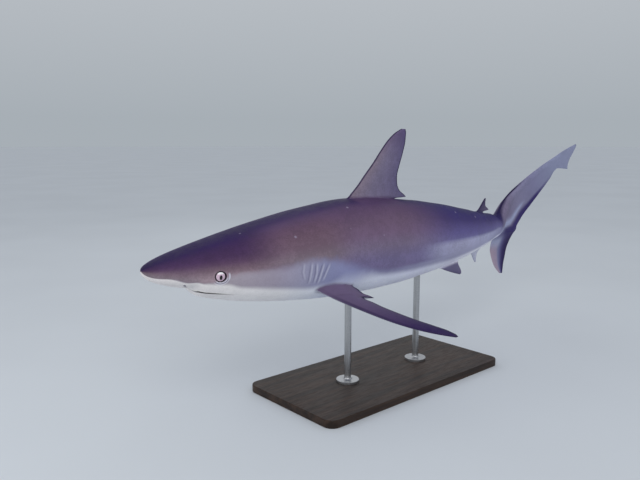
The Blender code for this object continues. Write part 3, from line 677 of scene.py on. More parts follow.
def upright_rows(rows):
    """Rows of a fin that stands on the middle line."""
    return [((lead, 0, height), (trail, 0, height), thickness, (0, 1, 0))
            for height, lead, trail, thickness in rows]


def upper_lobe_rows():
    """Rows across the upper lobe of the tail fin, square to its line."""
    rows = []
    for along, front, rear, thickness in UPPER_LOBE_ROWS:
        (lead, top), (trail, low) = lobe_point(along, front), lobe_point(along, -rear)
        rows.append(((lead, 0, top), (trail, 0, low), thickness, (0, 1, 0)))
    return rows


def lower_lobe_rows():
    """Rows of the lower lobe, which gives way sideways from its root down."""
    top, tip = LOWER_LOBE_ROWS[0][0], LOWER_LOBE_ROWS[-1][0]
    rows = []
    for height, lead, trail, thickness in LOWER_LOBE_ROWS:
        bend = LOWER_LOBE_BEND * float(eased(top, tip / 2, height))
        rows.append(((lead, bend, height), (trail, bend * LOWER_LOBE_REAR_BEND, height),
                     thickness, (0, 1, 0)))
    return rows


def swept_rows(fin, side):
    """Rows of a paired fin, walked out along a leading edge that sweeps back and droops."""
    steps = np.linspace(0, 1, SPAN_STEPS + 1)
    sweep, droop = [np.radians(between(fin[turn], steps)) for turn in ("sweep", "droop")]
    forward = np.stack([np.sin(sweep), np.cos(sweep) * np.cos(droop),
                        -np.cos(sweep) * np.sin(droop)], axis=-1)
    edge = running_total(middles(forward)) * fin["span"] / SPAN_STEPS + np.array(fin["root"])
    toe = radians(fin["toe"])
    mirror = np.array([1, side, 1])
    rows = []
    for share, chord, thickness in fin["chords"]:
        lead = between_rows(steps, edge, share) + min(share, 0) * fin["span"] * forward[0]
        tilt = radians(between(fin["tilt"], share))
        back = np.array([cos(tilt) * cos(toe), -cos(tilt) * sin(toe), sin(tilt)])
        out = np.cross(between_rows(steps, forward, share), back)
        out /= np.linalg.norm(out)
        rows.append((lead * mirror, (lead + back * chord) * mirror, thickness, out * mirror))
    return rows


def fin_grid(rows):
    """Closely spaced rows of a fin along tight curves, with the places of their points."""
    table = np.array([[*lead, *trail, thickness, *out] for lead, trail, thickness, out in rows])
    place = running_total(np.maximum(strides(table[:, :3]), strides(table[:, 3:6])))
    count = int(np.ceil(place[-1] / FIN_ROW_SPACING)) + 1
    along = np.linspace(0, place[-1], count)
    dense = tight(place, table)(along)
    lead, trail, thickness, out = dense[:, :3], dense[:, 3:6], dense[:, 6], dense[:, 7:]
    share = (1 - np.cos(np.linspace(0, np.pi, FIN_POINTS))) / 2
    spine = lead[:, None] + share[None, :, None] * (trail - lead)[:, None]
    depth = (foil(share)[None] * thickness[:, None] + EDGE / UNIT)[..., None] * out[:, None]
    points = np.concatenate([spine + depth, (spine - depth)[:, ::-1]], axis=1)
    chord = np.linalg.norm(trail - lead, axis=1)[:, None]
    from_lead = np.concatenate([share, share[::-1]])[None] * chord
    first_side = np.repeat([1.0, 0.0], FIN_POINTS)[None] + 0 * chord
    walked = running_total(strides(lead))
    reach = (walked / walked[-1])[:, None] + 0 * from_lead
    return points, dict(from_lead=from_lead, from_trail=chord - from_lead, reach=reach,
                        first_side=first_side)


def make_fin(name, rows, follows):
    """One fin as a closed solid, and what each of its points carries."""
    points, carried = fin_grid(rows)
    count, ring = points.shape[:2]
    faces = bands(0, count, ring)
    for start in (0, (count - 1) * ring):
        faces += [(start + j, start + j + 1, start + ring - 2 - j, start + ring - 1 - j)
                  for j in range(FIN_POINTS - 1)]
    carried = {key: value.reshape(-1) for key, value in carried.items()}
    carried["rest"] = points.reshape(-1, 3)
    return new_object(name, pose(points, follows), faces), carried


def fin_list():
    """Every fin: its name, its rows and the stations that it follows."""
    fins = [("dorsal_first", upright_rows(DORSAL_ROWS), DORSAL_ROOT),
            ("dorsal_second", upright_rows(SECOND_DORSAL_ROWS), SECOND_DORSAL_ROOT),
            ("anal", upright_rows(ANAL_ROWS), ANAL_ROOT),
            ("caudal_upper", upper_lobe_rows(), None),
            ("caudal_lower", lower_lobe_rows(), None)]
    for name, side in (("left", 1), ("right", -1)):
        fins.append((f"pectoral_{name}", swept_rows(PECTORAL, side), PECTORAL["follows"]))
        fins.append((f"pelvic_{name}", swept_rows(PELVIC, side), PELVIC["follows"]))
    return fins


# ---- the eyes' place ----
def eye_place(side, points):
    """World points for an eye's own points, which run back, up and out in metres."""
    turn = radians(EYE_TURN)
    along = np.array([cos(turn), side * sin(turn), 0])
    out = np.array([-sin(turn), side * cos(turn), 0])
    middle = float(half_width(EYE_STATION)) + (EYE_BULGE - EYE_DEPTH_RADIUS) / UNIT
    back, up, away = (points / UNIT).T[..., None]
    centre = np.array([EYE_STATION, side * middle, EYE_LEVEL])
    return pose(centre + back * along + up * (0, 0, 1) + away * out)


# ---- shader nodes ----
# what a node does: its kind and its settings
NODES = {"sum": ("Math", {"operation": "ADD"}),
         "difference": ("Math", {"operation": "SUBTRACT"}),
         "product": ("Math", {"operation": "MULTIPLY"}),
         "quotient": ("Math", {"operation": "DIVIDE"}),
         "power": ("Math", {"operation": "POWER"}),
         "larger": ("Math", {"operation": "MAXIMUM"}),
         "size": ("Math", {"operation": "ABSOLUTE"}),
         "dot": ("VectorMath", {"operation": "DOT_PRODUCT"}),
         "stretch": ("VectorMath", {"operation": "MULTIPLY"}),
         "length": ("VectorMath", {"operation": "LENGTH"}),
         "distance": ("VectorMath", {"operation": "DISTANCE"}),
         "noise": ("TexNoise", {}),
         "range": ("MapRange", {"interpolation_type": "SMOOTHSTEP"}),
         "mix": ("Mix", {"data_type": "RGBA"}),
         "tint": ("Mix", {"data_type": "RGBA", "blend_type": "MULTIPLY"})}


def linear(code):
    """Linear colour from an sRGB hex code."""
    values = [int(code[i:i + 2], 16) / 255 for i in (1, 3, 5)]
    return tuple(v / 12.92 if v <= 0.04045 else ((v + 0.055) / 1.055) ** 2.4 for v in values)


def fill(node, inputs):
    """Link or set some of a node's inputs, given by place or by name."""
    for name, value in inputs.items():
        socket = node.inputs[name]
        if isinstance(value, bpy.types.NodeSocket):
            node.id_data.links.new(value, socket)
        elif value is not None:
            socket.default_value = (*value, 1) if socket.type == "RGBA" else value


def add_node(tree, what, *inputs, output=None, **settings):
    """Add a node with its settings, link or set its inputs in order and give one output."""
    kind, usual = NODES.get(what, (what, {}))
    made = tree.nodes.new("ShaderNode" + kind)
    for name, value in {**usual, **settings}.items():
        setattr(made, name, value)
    places = [i for i, socket in enumerate(made.inputs) if socket.enabled]
    fill(made, dict(zip(places, inputs)))
    return next(one for one in made.outputs if one.enabled and output in (None, one.name))


def new_material(name):
    """An empty material, its Principled shader and the function that adds nodes to it."""
    made = bpy.data.materials.new(name)
    made.use_nodes = True
    tree = made.node_tree
    return made, tree.nodes["Principled BSDF"], partial(add_node, tree)


# ---- settings ----
def colour_setting(name, description, code):
    """A colour that the user can change."""
    return FloatVectorProperty(name=name, description=description, default=linear(code),
                               subtype="COLOR", size=3, min=0, max=1)


def number_setting(name, description, default, low, high, **kind):
    """A number that the user can change, with its unit or subtype."""
    return FloatProperty(name=name, description=description, default=default, min=low, max=high,
                         **kind)


class ReefSharkSkinSettings(bpy.types.PropertyGroup):
    """Sizes and colours of the skin"""
    crease: colour_setting("Crease", "Shadow colour in slits and folds", "#4d4a66")
    ridge: colour_setting("Ridge", "Light colour on the edges of slits and folds", "#d8d7e4")
    lid_margin: colour_setting("Lid margin", "Dark margin of the lids", "#150a1a")
    lip: colour_setting("Lip", "Faintly yellow rim of the upper lip", "#f4f3e6")
    mouth_line: colour_setting("Mouth line", "Shadow in the closed mouth's line", "#4a4548")
    speck: colour_setting("Speck", "Small pale specks on the back", "#a79db4")
    specks: number_setting("Specks", "How strongly the specks show", 0.5, 0, 1, subtype="FACTOR")
    mottling: number_setting("Mottling", "How much lighter and darker the patches are", 0.12, 0, 0.5,
                             subtype="FACTOR")
    mouth_depth: number_setting("Mouth depth", "Depth of the closed mouth's line", 0.0030, 0, 0.006,
                                unit="LENGTH")
    gill_depth: number_setting("Gill depth", "Depth of the gill slits", 0.0024, 0, 0.006,
                               unit="LENGTH")


class ReefSharkEyeSettings(bpy.types.PropertyGroup):
    """Sizes and colours of the eyes"""
    opening: number_setting("Opening", "Radius of the opening between the lids", 0.0124, 0.008,
                            0.0145, unit="LENGTH")
    iris: colour_setting("Iris", "Pale rose of the iris", "#e2cad7")
    iris_shade: colour_setting("Iris shade", "Darker flecks and the rim of the pupil", "#b896ae")
    # a painted highlight: white laid across the top of the iris
    iris_painted_highlight: colour_setting("Iris light", "Upper part of the iris, under the lid", "#ffffff")
    rim: colour_setting("Rim", "Dark ring round the iris", "#1d1420")
    pupil: colour_setting("Pupil", "Black of the pupil", "#050406")
    pupil_height: number_setting("Pupil height", "Half height of the upright pupil", 0.0057, 0.002,
                                 0.008, unit="LENGTH")
    pupil_width: number_setting("Pupil width", "Half width of the pupil", 0.0033, 0.0004, 0.006,
                                unit="LENGTH")


class ReefSharkStandSettings(bpy.types.PropertyGroup):
    """Colours of the stand"""
    wood: colour_setting("Wood", "Stained walnut of the base", "#3b2a20")
    grain: colour_setting("Grain", "Darker lines of the grain", "#22160f")
    steel: colour_setting("Steel", "Brushed stainless steel", "#b9babc")


class ReefSharkStageSettings(bpy.types.PropertyGroup):
    """Floor, lights and camera"""
    floor: colour_setting("Floor", "Pale studio floor", "#d5dadf")
    backdrop: colour_setting("Backdrop", "Light from all round", "#e9edf3")
    lens: number_setting("Lens", "Focal length on a 36 mm sensor, in millimetres", 36.5, 10, 200)
    key_power: number_setting("Key light", "Power of the large soft light", 60, 0, 2000)
    world_strength: number_setting("World light", "Strength of the light all round", 0.72, 0, 5)


# ---- skin ----
# what the skin's points carry for its shader, by the output that reads it
SKIN_MARKS = {"Vector": ("rest", "off_eye"),
              "Color": ("back_colour", "side_colour", "belly_colour", "fin_colour"),
              "Fac": ("over_dark", "over_white", "station", "on_fin", "lead_dark", "trail_dark",
                      "from_lead", "from_trail", "crease", "ridge", "mouth")}


def mark_skin(mesh, body, fins):
    """Give every point of the joined skin what its shader reads, and round off the seams."""
    points = points_of(mesh)
    body_world, body_carried = body
    sources = [body_world] + [fin_world for fin_world, _ in fins.values()]
    owner = np.concatenate([np.full(len(source), i) for i, source in enumerate(sources)])
    rank = np.concatenate([np.arange(len(source)) for source in sources])
    index, gap = nearest(np.concatenate(sources), points)
    owner, rank = owner[index], rank[index]
    on_body = owner == 0
    body_index, _ = nearest(body_world, points)

    rest = body_carried["rest"][np.where(on_body, rank, 0)]
    fin = {key: np.full(len(points), far) for key, far in
           (("from_lead", 9.0), ("from_trail", 9.0), ("reach", 0.0), ("first_side", 0.0))}
    for i, (_, carried) in enumerate(fins.values(), 1):
        mine = owner == i
        rest[mine] = carried["rest"][rank[mine]]
        for key in fin:
            fin[key][mine] = carried[key][rank[mine]]
    seam = np.flatnonzero(gap > SEAM_GAP)
    rim = rest[seam, 0] < EYE_STATION + 3
    _, to_seam = nearest(points[seam[~rim]], points)
    _, to_rim = nearest(points[seam[rim]], points)
    relax(mesh, eased(SEAM_REACH, SEAM_REACH * 0.3, to_seam), SEAM_ROUNDS)
    relax(mesh, eased(*RIM_REACH, to_rim) * 0.7, RIM_ROUNDS)
    root, half = PECTORAL_SEAM
    spread = np.where(np.abs(rest[:, 0] - root) < half, PECTORAL_SPREAD, 0)
    marks = {key: np.where(on_body, body_carried[key][body_index], off)
             for key, off in (("crease", 0), ("ridge", 0), ("mouth", -OFF_MOUTH))}
    return marks | dict(rest=rest, owner=owner, names=list(fins), fin=fin,
                        round=body_carried["round"][body_index],
                        on_fin=eased(*SEAM_BLEND, spread + np.where(on_body, -to_seam, to_seam)))


def shade(stops, value):
    """Colours between stops, each a value and an sRGB code."""
    places, codes = zip(*stops)
    return between_rows(places, [linear(code) for code in codes], value)


def laid_over(under, colour, share):
    """One colour, or one for each point, laid over others by a share for each point."""
    return under + (np.asarray(colour) - under) * np.asarray(share)[:, None]


def body_colours(s, round_share):
    """Colours of the back, the flank under it and the belly at each point."""
    fades, gone, begins, back_again = UNDER_DORSAL
    under_dorsal = eased(fades, gone, s) * eased(back_again, begins, s)
    off_stripe = np.maximum(round_share, STRIPE_SHARE * under_dorsal)
    snout = shade(SNOUT_BACK, off_stripe)
    back = laid_over(snout * 0.8, snout, eased(*SNOUT_TIP, s))
    for stations, stops in BACKS:
        back = laid_over(back, shade(stops, off_stripe), eased(*stations, s))
    side = shade(SIDE_SHADES, s)
    low, soft = np.interp(s, WEDGE["low_stations"], WEDGE["low"]), WEDGE["soft"]
    wedge = (eased(*WEDGE["top"], round_share) * eased(*WEDGE["grows"], s)
             * eased(*WEDGE["ends"][::-1], s) * eased(low + soft, low - soft, round_share))
    return laid_over(back, side, wedge), side, shade(BELLY_SHADES, s)


def tail_colours(rest, chord_share):
    """Colours of the tail fin: a pale streak runs on from the stalk between dark edges."""
    rise = radians(LOBE_RISE)
    s, z = rest[:, 0] - LOBE_ORIGIN[0], rest[:, 2] - LOBE_ORIGIN[1]
    along, over = s * cos(rise) + z * sin(rise), z * cos(rise) - s * sin(rise)
    places, *sides = zip(*UPPER_LOBE_ROWS)
    front, rear, _ = [np.interp(along, places, side) for side in sides]
    streak, streak_width, band_width, front_width = [
        between(knots, along) for knots in (STREAK_OVER, STREAK_WIDTH, BAND_WIDTH, FRONT_WIDTH)]
    # rear: painted shade on the web near its rear edge by the fork
    layers = dict(rear=eased(1.2, 0.2, over + rear) * eased(12, 8, along),
                  streak=hill(over, streak, streak_width) * eased(11, 8, along),
                  band=(eased(1.15, 0.55, (over + rear) / band_width) * eased(20, 13, along)
                        * eased(1, 3, along)),
                  front=eased(1, 0.3, (front - over) / front_width) * eased(13, 8, along))
    colour = shade(TAIL_SHADES, along)
    for name, share in layers.items():
        colour = laid_over(colour, linear(TAIL_TINTS[name]), share)
    pale_root = eased(-4.6, -2.4, rest[:, 2]) * eased(0.56, 0.34, chord_share) * 0.9
    lower = laid_over(shade(LOWER_LOBE_SHADES, chord_share), linear(TAIL_TINTS["root"]), pale_root)
    return laid_over(colour, lower, eased(-0.8, -2.6, rest[:, 2]))


def fin_colours(marks):
    """Each fin's own colour, and how dark its leading and trailing edges are."""
    fin, rest = marks["fin"], marks["rest"]
    chord_share = fin["from_lead"] / np.maximum(fin["from_lead"] + fin["from_trail"], 1e-6)
    tail = tail_colours(rest, chord_share)
    colour = tail.copy()
    edges = np.zeros((2, len(rest)))
    for i, name in enumerate(marks["names"], 1):
        kind = name if name in FIN_SHADES else name.split("_")[0]
        if kind not in FIN_SHADES:
            continue
        mine = marks["owner"] == i
        root, tip, blend, lead, trail, width = FIN_SHADES[kind]
        share, reach = chord_share[mine], fin["reach"][mine]
        colour[mine] = laid_over(shade(root, share), shade(tip, share), eased(*blend, reach))
        edges[:, mine] = [[lead], [trail]]
        for key in ("from_lead", "from_trail"):
            fin[key][mine] *= UNIT / MM / width
        if kind in ("pectoral", "pelvic"):
            edges[0, mine] *= eased(0.04, 0.4, reach)
            under = mine & (fin["first_side"] > 0.5)
            pale = eased(0.95, 0.45, fin["reach"][under]) * 0.85
            colour[under] = laid_over(colour[under], linear(PAIRED_FIN_UNDERSIDE), pale)
    body = marks["owner"] == 0
    colour[body] = colour[marks["nearest_fin"][body]]
    on_tail = eased(*TAIL_START, rest[:, 0])
    return laid_over(colour, tail, on_tail), edges, np.maximum(marks["on_fin"], on_tail)


def write_attribute(mesh, name, values):
    """Store a number, a vector or a colour for each of the mesh's points."""
    values = np.asarray(values, np.float32)
    kind, field = {(): ("FLOAT", "value"), (3,): ("FLOAT_VECTOR", "vector"),
                   (4,): ("FLOAT_COLOR", "color")}[values.shape[1:]]
    mesh.attributes.new(name, kind, "POINT").data.foreach_set(field, values.ravel())


def write_marks(mesh, marks):
    """Store the marks as attributes of the mesh's points."""
    rest = marks["rest"]
    s = rest[:, 0]
    for name, table in (("over_dark", DARK_EDGE), ("over_white", WHITE_EDGE)):
        station, *edge = np.transpose(table)
        level, soft = tight(station, np.transpose(edge))(np.clip(s, 0, station[-1])).T
        marks[name] = (level - marks["round"]) / soft
    fin, (marks["lead_dark"], marks["trail_dark"]), marks["on_fin"] = fin_colours(marks)
    colours = (*body_colours(s, marks["round"]), fin)
    for name, colour in zip(SKIN_MARKS["Color"], colours):
        marks[name] = np.insert(colour, 3, 1, axis=1)
    marks["off_eye"] = np.stack([s - EYE_STATION, rest[:, 2] - EYE_LEVEL, 0 * s], axis=-1) * UNIT / MM
    marks |= marks["fin"] | dict(rest=rest * UNIT, station=s / 100)
    for names in SKIN_MARKS.values():
        for name in names:
            write_attribute(mesh, name, marks[name])


def skin_material(colours):
    """Shark skin in cast resin, airbrushed and varnished satin: brown fading softly into white,
    a low sheen, and the fine tooth of the denticles that the mould took from a real skin."""
    made, shader, node = new_material("shark_skin_cast_and_painted")
    read = {name: node("Attribute", attribute_name=name, output=output)
            for output, names in SKIN_MARKS.items() for name in names}
    rest, place, station, mouth = read["rest"], read["off_eye"], read["station"], read["mouth"]
    # broad patches about 90 mm across, blotches of 16 mm and flecks of 4 mm
    broad, patch, fine = [node("noise", rest, 1 / (size * MM), 3, 0.55) for size in (90, 16, 4)]

    def close_to(value, middle, inner, outer):
        """1 within inner of the middle, fading to 0 at outer from it."""
        return node("range", node("size", node("difference", value, middle)), inner, outer, 1, 0)

    def towards(degrees, low, high):
        """How far a point lies in a direction from the eye, turned up from straight back."""
        cosine = node("dot", place, (cos(radians(degrees)), sin(radians(degrees)), 0))
        return node("range", node("quotient", cosine, reach), low, high)

    wobble = node("difference", patch, 0.5)
    dark, grey = [node("range", node("sum", read[name], node("product", wobble, much)), -1, 1)
                  for name, much in (("over_dark", 1.6), ("over_white", 0.4))]
    lower = node("mix", grey, read["belly_colour"], read["side_colour"])
    colour = node("mix", dark, lower, read["back_colour"])

    # fins, with thin dark edges
    edges = [node("product", node("range", read["from_" + edge], 0.35, 1.1, 1, 0),
                  read[edge + "_dark"]) for edge in ("lead", "trail")]
    fin = node("mix", node("larger", *edges), read["fin_colour"], linear(FIN_EDGE))
    colour = node("mix", read["on_fin"], colour, fin)

    # mottling, and pale specks about 7 mm across in three of every ten patches of 40 mm
    grain = node("sum", node("sum", patch, fine), broad)
    mottle = node("range", grain, 1.15, 1.85, 1 - colours.mottling, 1 + colours.mottling)
    colour = node("tint", node("range", dark, 0, 1, 0.4, 1), colour, mottle)
    spot = node("TexVoronoi", rest, 1 / (40 * MM))
    chosen = node("range", node("SeparateColor", spot.node.outputs["Color"]), 0.70, 0.72)
    speck = node("product", node("range", spot, 0.05, 0.12, 1, 0), chosen)
    speck = node("product", node("product", speck, dark), colours.specks)
    # the light on the edges of the slits and the shadow in them
    layers = [(speck, colours.speck), (node("product", read["ridge"], 0.6), colours.ridge),
              (node("product", read["crease"], 0.85), colours.crease)]
    # the mouth's dark line under the pale rim of the upper lip
    lip = node("product", close_to(mouth, -3, 0.6, 2.4), node("range", station, 0.070, 0.104, 0.8, 0))
    line = node("product", close_to(mouth, 1.3, 1.3, 3), node("range", station, 0.062, 0.104, 1, 0))
    line = node("product", line, node("range", station, 0.0555, 0.0582, 0.1, 1))
    layers += [(lip, colours.lip), (line, colours.mouth_line)]
    # the lids: painted highlights and painted shade on the folds below, a painted highlight on the fold
    # behind, and a dark margin
    reach = node("length", place)
    below, behind = towards(-72, 0.25, 0.8), towards(1, 0.88, 0.985)
    folds = ((15.3, 0.6, 1.6, below, 1.0, colours.ridge),
             (17.6, 0.2, 1.5, below, 0.45, colours.crease),
             (20.0, 0.4, 1.9, below, 0.5, colours.ridge),
             (19.6, 1.0, 3.0, behind, 0.75, colours.ridge),
             (EYE_RING - 7, 6.6, 7.4, 1, 1, colours.lid_margin))
    for middle, inner, outer, where, strength, fold in folds:
        share = node("product", close_to(reach, middle, inner, outer), where)
        layers.append((node("product", share, strength), fold))
    for share, over in layers:
        colour = node("mix", share, colour, over)

    # denticles, about 0.3 mm across and too fine to show, drawn as a tooth of 1.3 mm
    tooth = node("noise", rest, 1 / (1.3 * MM), 2, 0.55)
    fill(shader, {"Base Color": colour, "IOR": 1.42, "Specular IOR Level": 0.19,
                  "Roughness": node("range", node("sum", patch, tooth), 0.6, 1.4, 0.46, 0.64),
                  "Normal": node("Bump", 0.35, 0.0004, None, tooth)})
    return made


def join_into(target, others):
    """Add the other objects' meshes to the target's, without joining their surfaces."""
    work = bmesh.new()
    for part in (target, *others):
        work.from_mesh(part.data)
    work.to_mesh(target.data)
    work.free()
    for part in others:
        bpy.data.objects.remove(part, do_unlink=True)


def clean_mesh(mesh):
    """Split faces of many corners and join points that all but touch."""
    work = bmesh.new()
    work.from_mesh(mesh)
    bmesh.ops.remove_doubles(work, verts=work.verts, dist=MERGE)
    bmesh.ops.triangulate(work, faces=[face for face in work.faces if len(face.verts) > 4])
    work.to_mesh(mesh)
    work.free()


def make_socket(side, opening):
    """The eye's socket: a pocket just larger than the ball, open between the lids."""
    wide, deep = EYE_RADIUS + SOCKET_GAP, EYE_DEPTH_RADIUS + SOCKET_GAP
    meet, top = np.arcsin(opening / wide), EYE_DEPTH_RADIUS + SOCKET_REACH
    thickness, flare = LID
    profile = [(0, -deep)]
    for angle in np.linspace(np.pi, meet, SOCKET_RINGS)[1:]:
        profile.append((wide * sin(angle), deep * cos(angle)))
    profile += [(opening, deep * cos(meet) + thickness), (opening + flare, top), (0, top)]
    points, faces = lathe(profile)
    return new_object(f"socket_{side}", eye_place(side, points), faces)


class REEF_SHARK_OT_skin(bpy.types.Operator):
    """Build the shark's skin in one piece over the frame's nodes of flesh"""
    bl_idname = "reef_shark.skin"
    bl_label = "Skin"

    def execute(self, context):
        settings = context.scene.reef_shark_skin
        opening = context.scene.reef_shark_eyes.opening
        skin, body_carried = make_body(settings)
        body = (points_of(skin.data), body_carried)
        fins, solids = {}, {}
        for name, rows, follows in fin_list():
            solids[name], carried = make_fin(name, rows, follows)
            fins[name] = (points_of(solids[name].data), carried)
        combine(solids["caudal_upper"], [("UNION", solids.pop("caudal_lower"))])
        tool, *others = solids.values()
        join_into(tool, others)
        combine(skin, [("UNION", tool), ("DIFFERENCE", make_socket(1, opening)),
                       ("DIFFERENCE", make_socket(-1, opening))])
        clean_mesh(skin.data)
        marks = mark_skin(skin.data, body, fins)
        points = points_of(skin.data)
        fin_points = np.flatnonzero(marks["owner"] > 0)
        index, _ = nearest(points[fin_points], points)
        marks["nearest_fin"] = fin_points[index]
        write_marks(skin.data, marks)
        skin.data.materials.append(skin_material(settings))
        skin.data.shade_smooth()
        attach(skin, BODY)
        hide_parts(*[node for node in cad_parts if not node.startswith(("eye_", "stand_"))])
        return {"FINISHED"}


# ---- eyes ----
def eye_material(colours):
    """Taxidermy eye in cast clear resin over a painted iris: a hard wet gloss, a pale iris with
    fine flecks and an upright black pupil."""
    made, shader, node = new_material("eye_cast_resin")
    place = node("Attribute", attribute_name="eye", output="Vector")
    back = node("SeparateXYZ", place)
    up = back.node.outputs["Y"]
    across, tall = [
        node("power", node("quotient", node("difference", one, middle), half / MM), 2)
        for one, middle, half in ((back, PUPIL_BACK, colours.pupil_width),
                                  (up, -PUPIL_DOWN, colours.pupil_height))]
    pupil = node("sum", across, tall)
    radius = node("distance", node("stretch", place, (1, 1, 0)), (IRIS_BACK, 0, 0))
    # flecks about 1.1 mm across
    flecks = node("noise", place, 0.9, 4)
    # a painted highlight: white across the top of the iris, strongest above the pupil
    light = node("product", node("range", up, 3.6, 8.4, 0, 0.9),
                 node("range", across, 0.8, 6, 1, 0.15))
    colour = node("mix", node("range", flecks, 0.35, 0.75), colours.iris, colours.iris_shade)
    for share, over in ((light, colours.iris_painted_highlight),
                        (node("range", pupil, 1, 2.4, 0.7, 0), colours.iris_shade),
                        (node("range", radius, 9.9, 10.9), colours.rim),
                        (node("range", pupil, 0.9, 1.05, 1, 0), colours.pupil)):
        colour = node("mix", share, colour, over)
    fill(shader, {"Base Color": colour, "Roughness": 0.12, "IOR": 1.5, "Specular IOR Level": 0.2,
                  "Coat Weight": 0.6, "Coat Roughness": 0.03})
    return made


class REEF_SHARK_OT_eyes(bpy.types.Operator):
    """Build both eyeballs with their pale iris and upright pupil"""
    bl_idname = "reef_shark.eyes"
    bl_label = "Eyes"

    def execute(self, context):
        material = eye_material(context.scene.reef_shark_eyes)
        profile = [(0, -EYE_DEPTH_RADIUS)]
        for angle in np.linspace(np.pi, 0, EYE_RINGS)[1:-1]:
            radius = EYE_RADIUS * sin(angle)
            bulge = CORNEA * float(eased(*CORNEA_EDGE, radius)) if angle < np.pi / 2 else 0
            profile.append((radius, EYE_DEPTH_RADIUS * cos(angle) + bulge))
        points, faces = lathe([*profile, (0, EYE_DEPTH_RADIUS + CORNEA)])
        for name, side in (("left", 1), ("right", -1)):
            ball = new_object(f"eyeball_{name}", eye_place(side, points), faces)
            write_attribute(ball.data, "eye", points / MM)
            ball.data.materials.append(material)
            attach(ball, BODY)
            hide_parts(f"eye_{name}")
        return {"FINISHED"}


# ---- stand and floor ----
def drawn_noise(node, stretch, detail):
    """Noise over the world's axes, with that many features to the metre along each."""
    place = node("NewGeometry", output="Position")
    return node("noise", node("stretch", place, stretch), 1, detail)


def wood_material(colours):
    """Walnut, stained and lacquered: dark figure and fine pores along the plank, a dull shine."""
    made, shader, node = new_material("walnut_stained_and_lacquered")
    # figure 330 mm long and 22 mm wide; pores, 0.2 mm wide and too fine to show, drawn 1.4 mm wide
    figure, pores = drawn_noise(node, (3, 45, 45), 4), drawn_noise(node, (30, 700, 700), 3)
    colour = node("mix", node("range", figure, 0.36, 0.64), colours.grain, colours.wood)
    colour = node("mix", node("range", pores, 0.56, 0.70, 0, 0.6), colour, colours.grain)
    fill(shader, {"Base Color": colour, "Specular IOR Level": 0.3,
                  "Roughness": node("range", pores, 0.4, 0.7, 0.42, 0.6)})
    return made


def steel_material(colours):
    """Stainless steel, turned and brushed: fine marks round each rod that spread its shine."""
    made, shader, node = new_material("stainless_steel_brushed")
    # brush marks, about 0.1 mm wide and too fine to show, drawn 0.7 mm wide
    brushed = drawn_noise(node, (20, 20, 1500), 3)
    dull = [c * 0.86 for c in colours.steel]
    fill(shader, {"Base Color": node("mix", node("range", brushed, 0.3, 0.7), dull, colours.steel),
                  "Roughness": node("range", brushed, 0.3, 0.7, 0.26, 0.42), "Metallic": 1})
    return made


def floor_material(colour):
    """Matt floor paint, rolled on: even but for clouds about 0.9 m across, so it isn't flat."""
    made, shader, node = new_material("studio_floor_matt_paint")
    cloud = drawn_noise(node, (1.1, 1.1, 1.1), 2)
    darker = [c * 0.965 for c in colour]
    fill(shader, {"Base Color": node("mix", node("range", cloud, 0.3, 0.7), darker, colour),
                  "Roughness": 0.95, "Specular IOR Level": 0.15})
    return made


class REEF_SHARK_OT_stand(bpy.types.Operator):
    """Finish the wooden base and the two steel rods"""
    bl_idname = "reef_shark.stand"
    bl_label = "Stand"

    def execute(self, context):
        colours = context.scene.reef_shark_stand
        wood, steel = wood_material(colours), steel_material(colours)
        for name, material in (("stand_base", wood), ("stand_rod_front", steel),
                               ("stand_rod_rear", steel)):
            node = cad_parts[name]
            node.data.materials.clear()
            node.data.materials.append(material)
        return {"FINISHED"}


# ---- stage ----
CAMERA_PLACE = (-1.409, -1.314, 0.727)  # m
CAMERA_HEADING = 41.43  # degrees from +Y towards +X
CAMERA_DOWN = 8.87
FLOOR_RADIUS = 60
FLOOR_SIDES = 96
HORIZON = (0.66, 0.70, 0.72)  # the backdrop's share of the light's colour at the horizon
BACKDROP_RISE = (0.03, 0.45)  # heights of view over which it comes to the full colour
# name, place, what it points at, side of the square in m, share of the key light's power
LAMPS = (("key_light", (-2.6, -3.0, 2.9), (-0.1, 0, 0.4), 2.6, 1.0),
         ("fill_light", (-3.4, 0.8, 1.2), (-0.5, 0, 0.4), 2.2, 0.3),
         ("back_light", (1.6, 2.6, 2.4), (0, 0, 0.4), 2.4, 0.1))


def studio_backdrop(colour, strength):
    """World light: the floor's own paleness at the horizon, a little cooler overhead."""
    world = bpy.data.worlds.new("studio_backdrop")
    world.use_nodes = True
    node = partial(add_node, world.node_tree)
    height = node("SeparateXYZ", node("TexCoord", output="Generated"), output="Z")
    low = [c * share for c, share in zip(colour, HORIZON)]
    sky = node("mix", node("MapRange", height, *BACKDROP_RISE), low, colour)
    fill(world.node_tree.nodes["Background"], {"Color": sky, "Strength": strength})
    return world


def placed(name, data, place, rotation):
    """A lamp or a camera in its place."""
    made = bpy.data.objects.new(name, data)
    made.location = place
    made.rotation_euler = rotation
    bpy.context.scene.collection.objects.link(made)
    return made


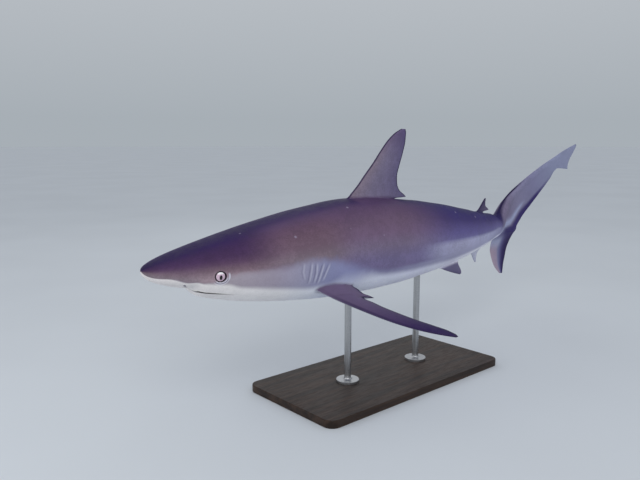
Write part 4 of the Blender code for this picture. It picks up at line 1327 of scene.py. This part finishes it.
class REEF_SHARK_OT_stage(bpy.types.Operator):
    """Set the pale floor, the soft lights and the camera"""
    bl_idname = "reef_shark.stage"
    bl_label = "Stage"

    def execute(self, context):
        settings = context.scene.reef_shark_stage
        edge = [(FLOOR_RADIUS * cos(a), FLOOR_RADIUS * sin(a), 0)
                for a in np.linspace(0, 2 * np.pi, FLOOR_SIDES, endpoint=False)]
        floor = new_object("studio_floor", edge, [tuple(range(FLOOR_SIDES))])
        floor.data.materials.append(floor_material(settings.floor))
        context.scene.world = studio_backdrop(settings.backdrop, settings.world_strength)
        for name, place, target, size, share in LAMPS:
            lamp = bpy.data.lights.new(name, "AREA")
            lamp.shape = "SQUARE"
            lamp.size = size
            lamp.energy = settings.key_power * share
            aim = Vector(target) - Vector(place)
            placed(name, lamp, place, aim.to_track_quat("-Z", "Y").to_euler())
        camera = bpy.data.cameras.new("camera")
        camera.sensor_width = 36
        camera.lens = settings.lens
        rotation = (radians(90 - CAMERA_DOWN), 0, -radians(CAMERA_HEADING))
        bpy.context.scene.camera = placed("camera", camera, CAMERA_PLACE, rotation)
        context.scene.view_settings.view_transform = "Standard"
        return {"FINISHED"}


class REEF_SHARK_PT_pieces(bpy.types.Panel):
    """The shark's pieces and their settings"""
    bl_label = "Reef shark"
    bl_idname = "REEF_SHARK_PT_pieces"
    bl_space_type = "VIEW_3D"
    bl_region_type = "UI"
    bl_category = "Reef shark"

    def draw(self, context):
        for piece in PIECES:
            box = self.layout.box()
            box.operator(f"reef_shark.{piece}")
            settings = getattr(context.scene, f"reef_shark_{piece}")
            for name in settings.bl_rna.properties.keys():
                if name not in ("rna_type", "name"):
                    box.prop(settings, name)


# each piece's settings and operator
PIECES = {"skin": (ReefSharkSkinSettings, REEF_SHARK_OT_skin),
          "eyes": (ReefSharkEyeSettings, REEF_SHARK_OT_eyes),
          "stand": (ReefSharkStandSettings, REEF_SHARK_OT_stand),
          "stage": (ReefSharkStageSettings, REEF_SHARK_OT_stage)}
CLASSES = (*[one for pair in PIECES.values() for one in pair], REEF_SHARK_PT_pieces)


def register():
    """Add the classes, and the settings to the scene."""
    for one in CLASSES:
        bpy.utils.register_class(one)
    for piece, (settings, _) in PIECES.items():
        setattr(bpy.types.Scene, f"reef_shark_{piece}", PointerProperty(type=settings))


def unregister():
    """Take the settings and the classes away again."""
    for piece in PIECES:
        delattr(bpy.types.Scene, f"reef_shark_{piece}")
    for one in reversed(CLASSES):
        bpy.utils.unregister_class(one)


def main():
    """Build every piece and the stage."""
    register()
    bpy.ops.reef_shark.skin()
    bpy.ops.reef_shark.eyes()
    bpy.ops.reef_shark.stand()
    bpy.ops.reef_shark.stage()


if __name__ == "__main__":
    main()
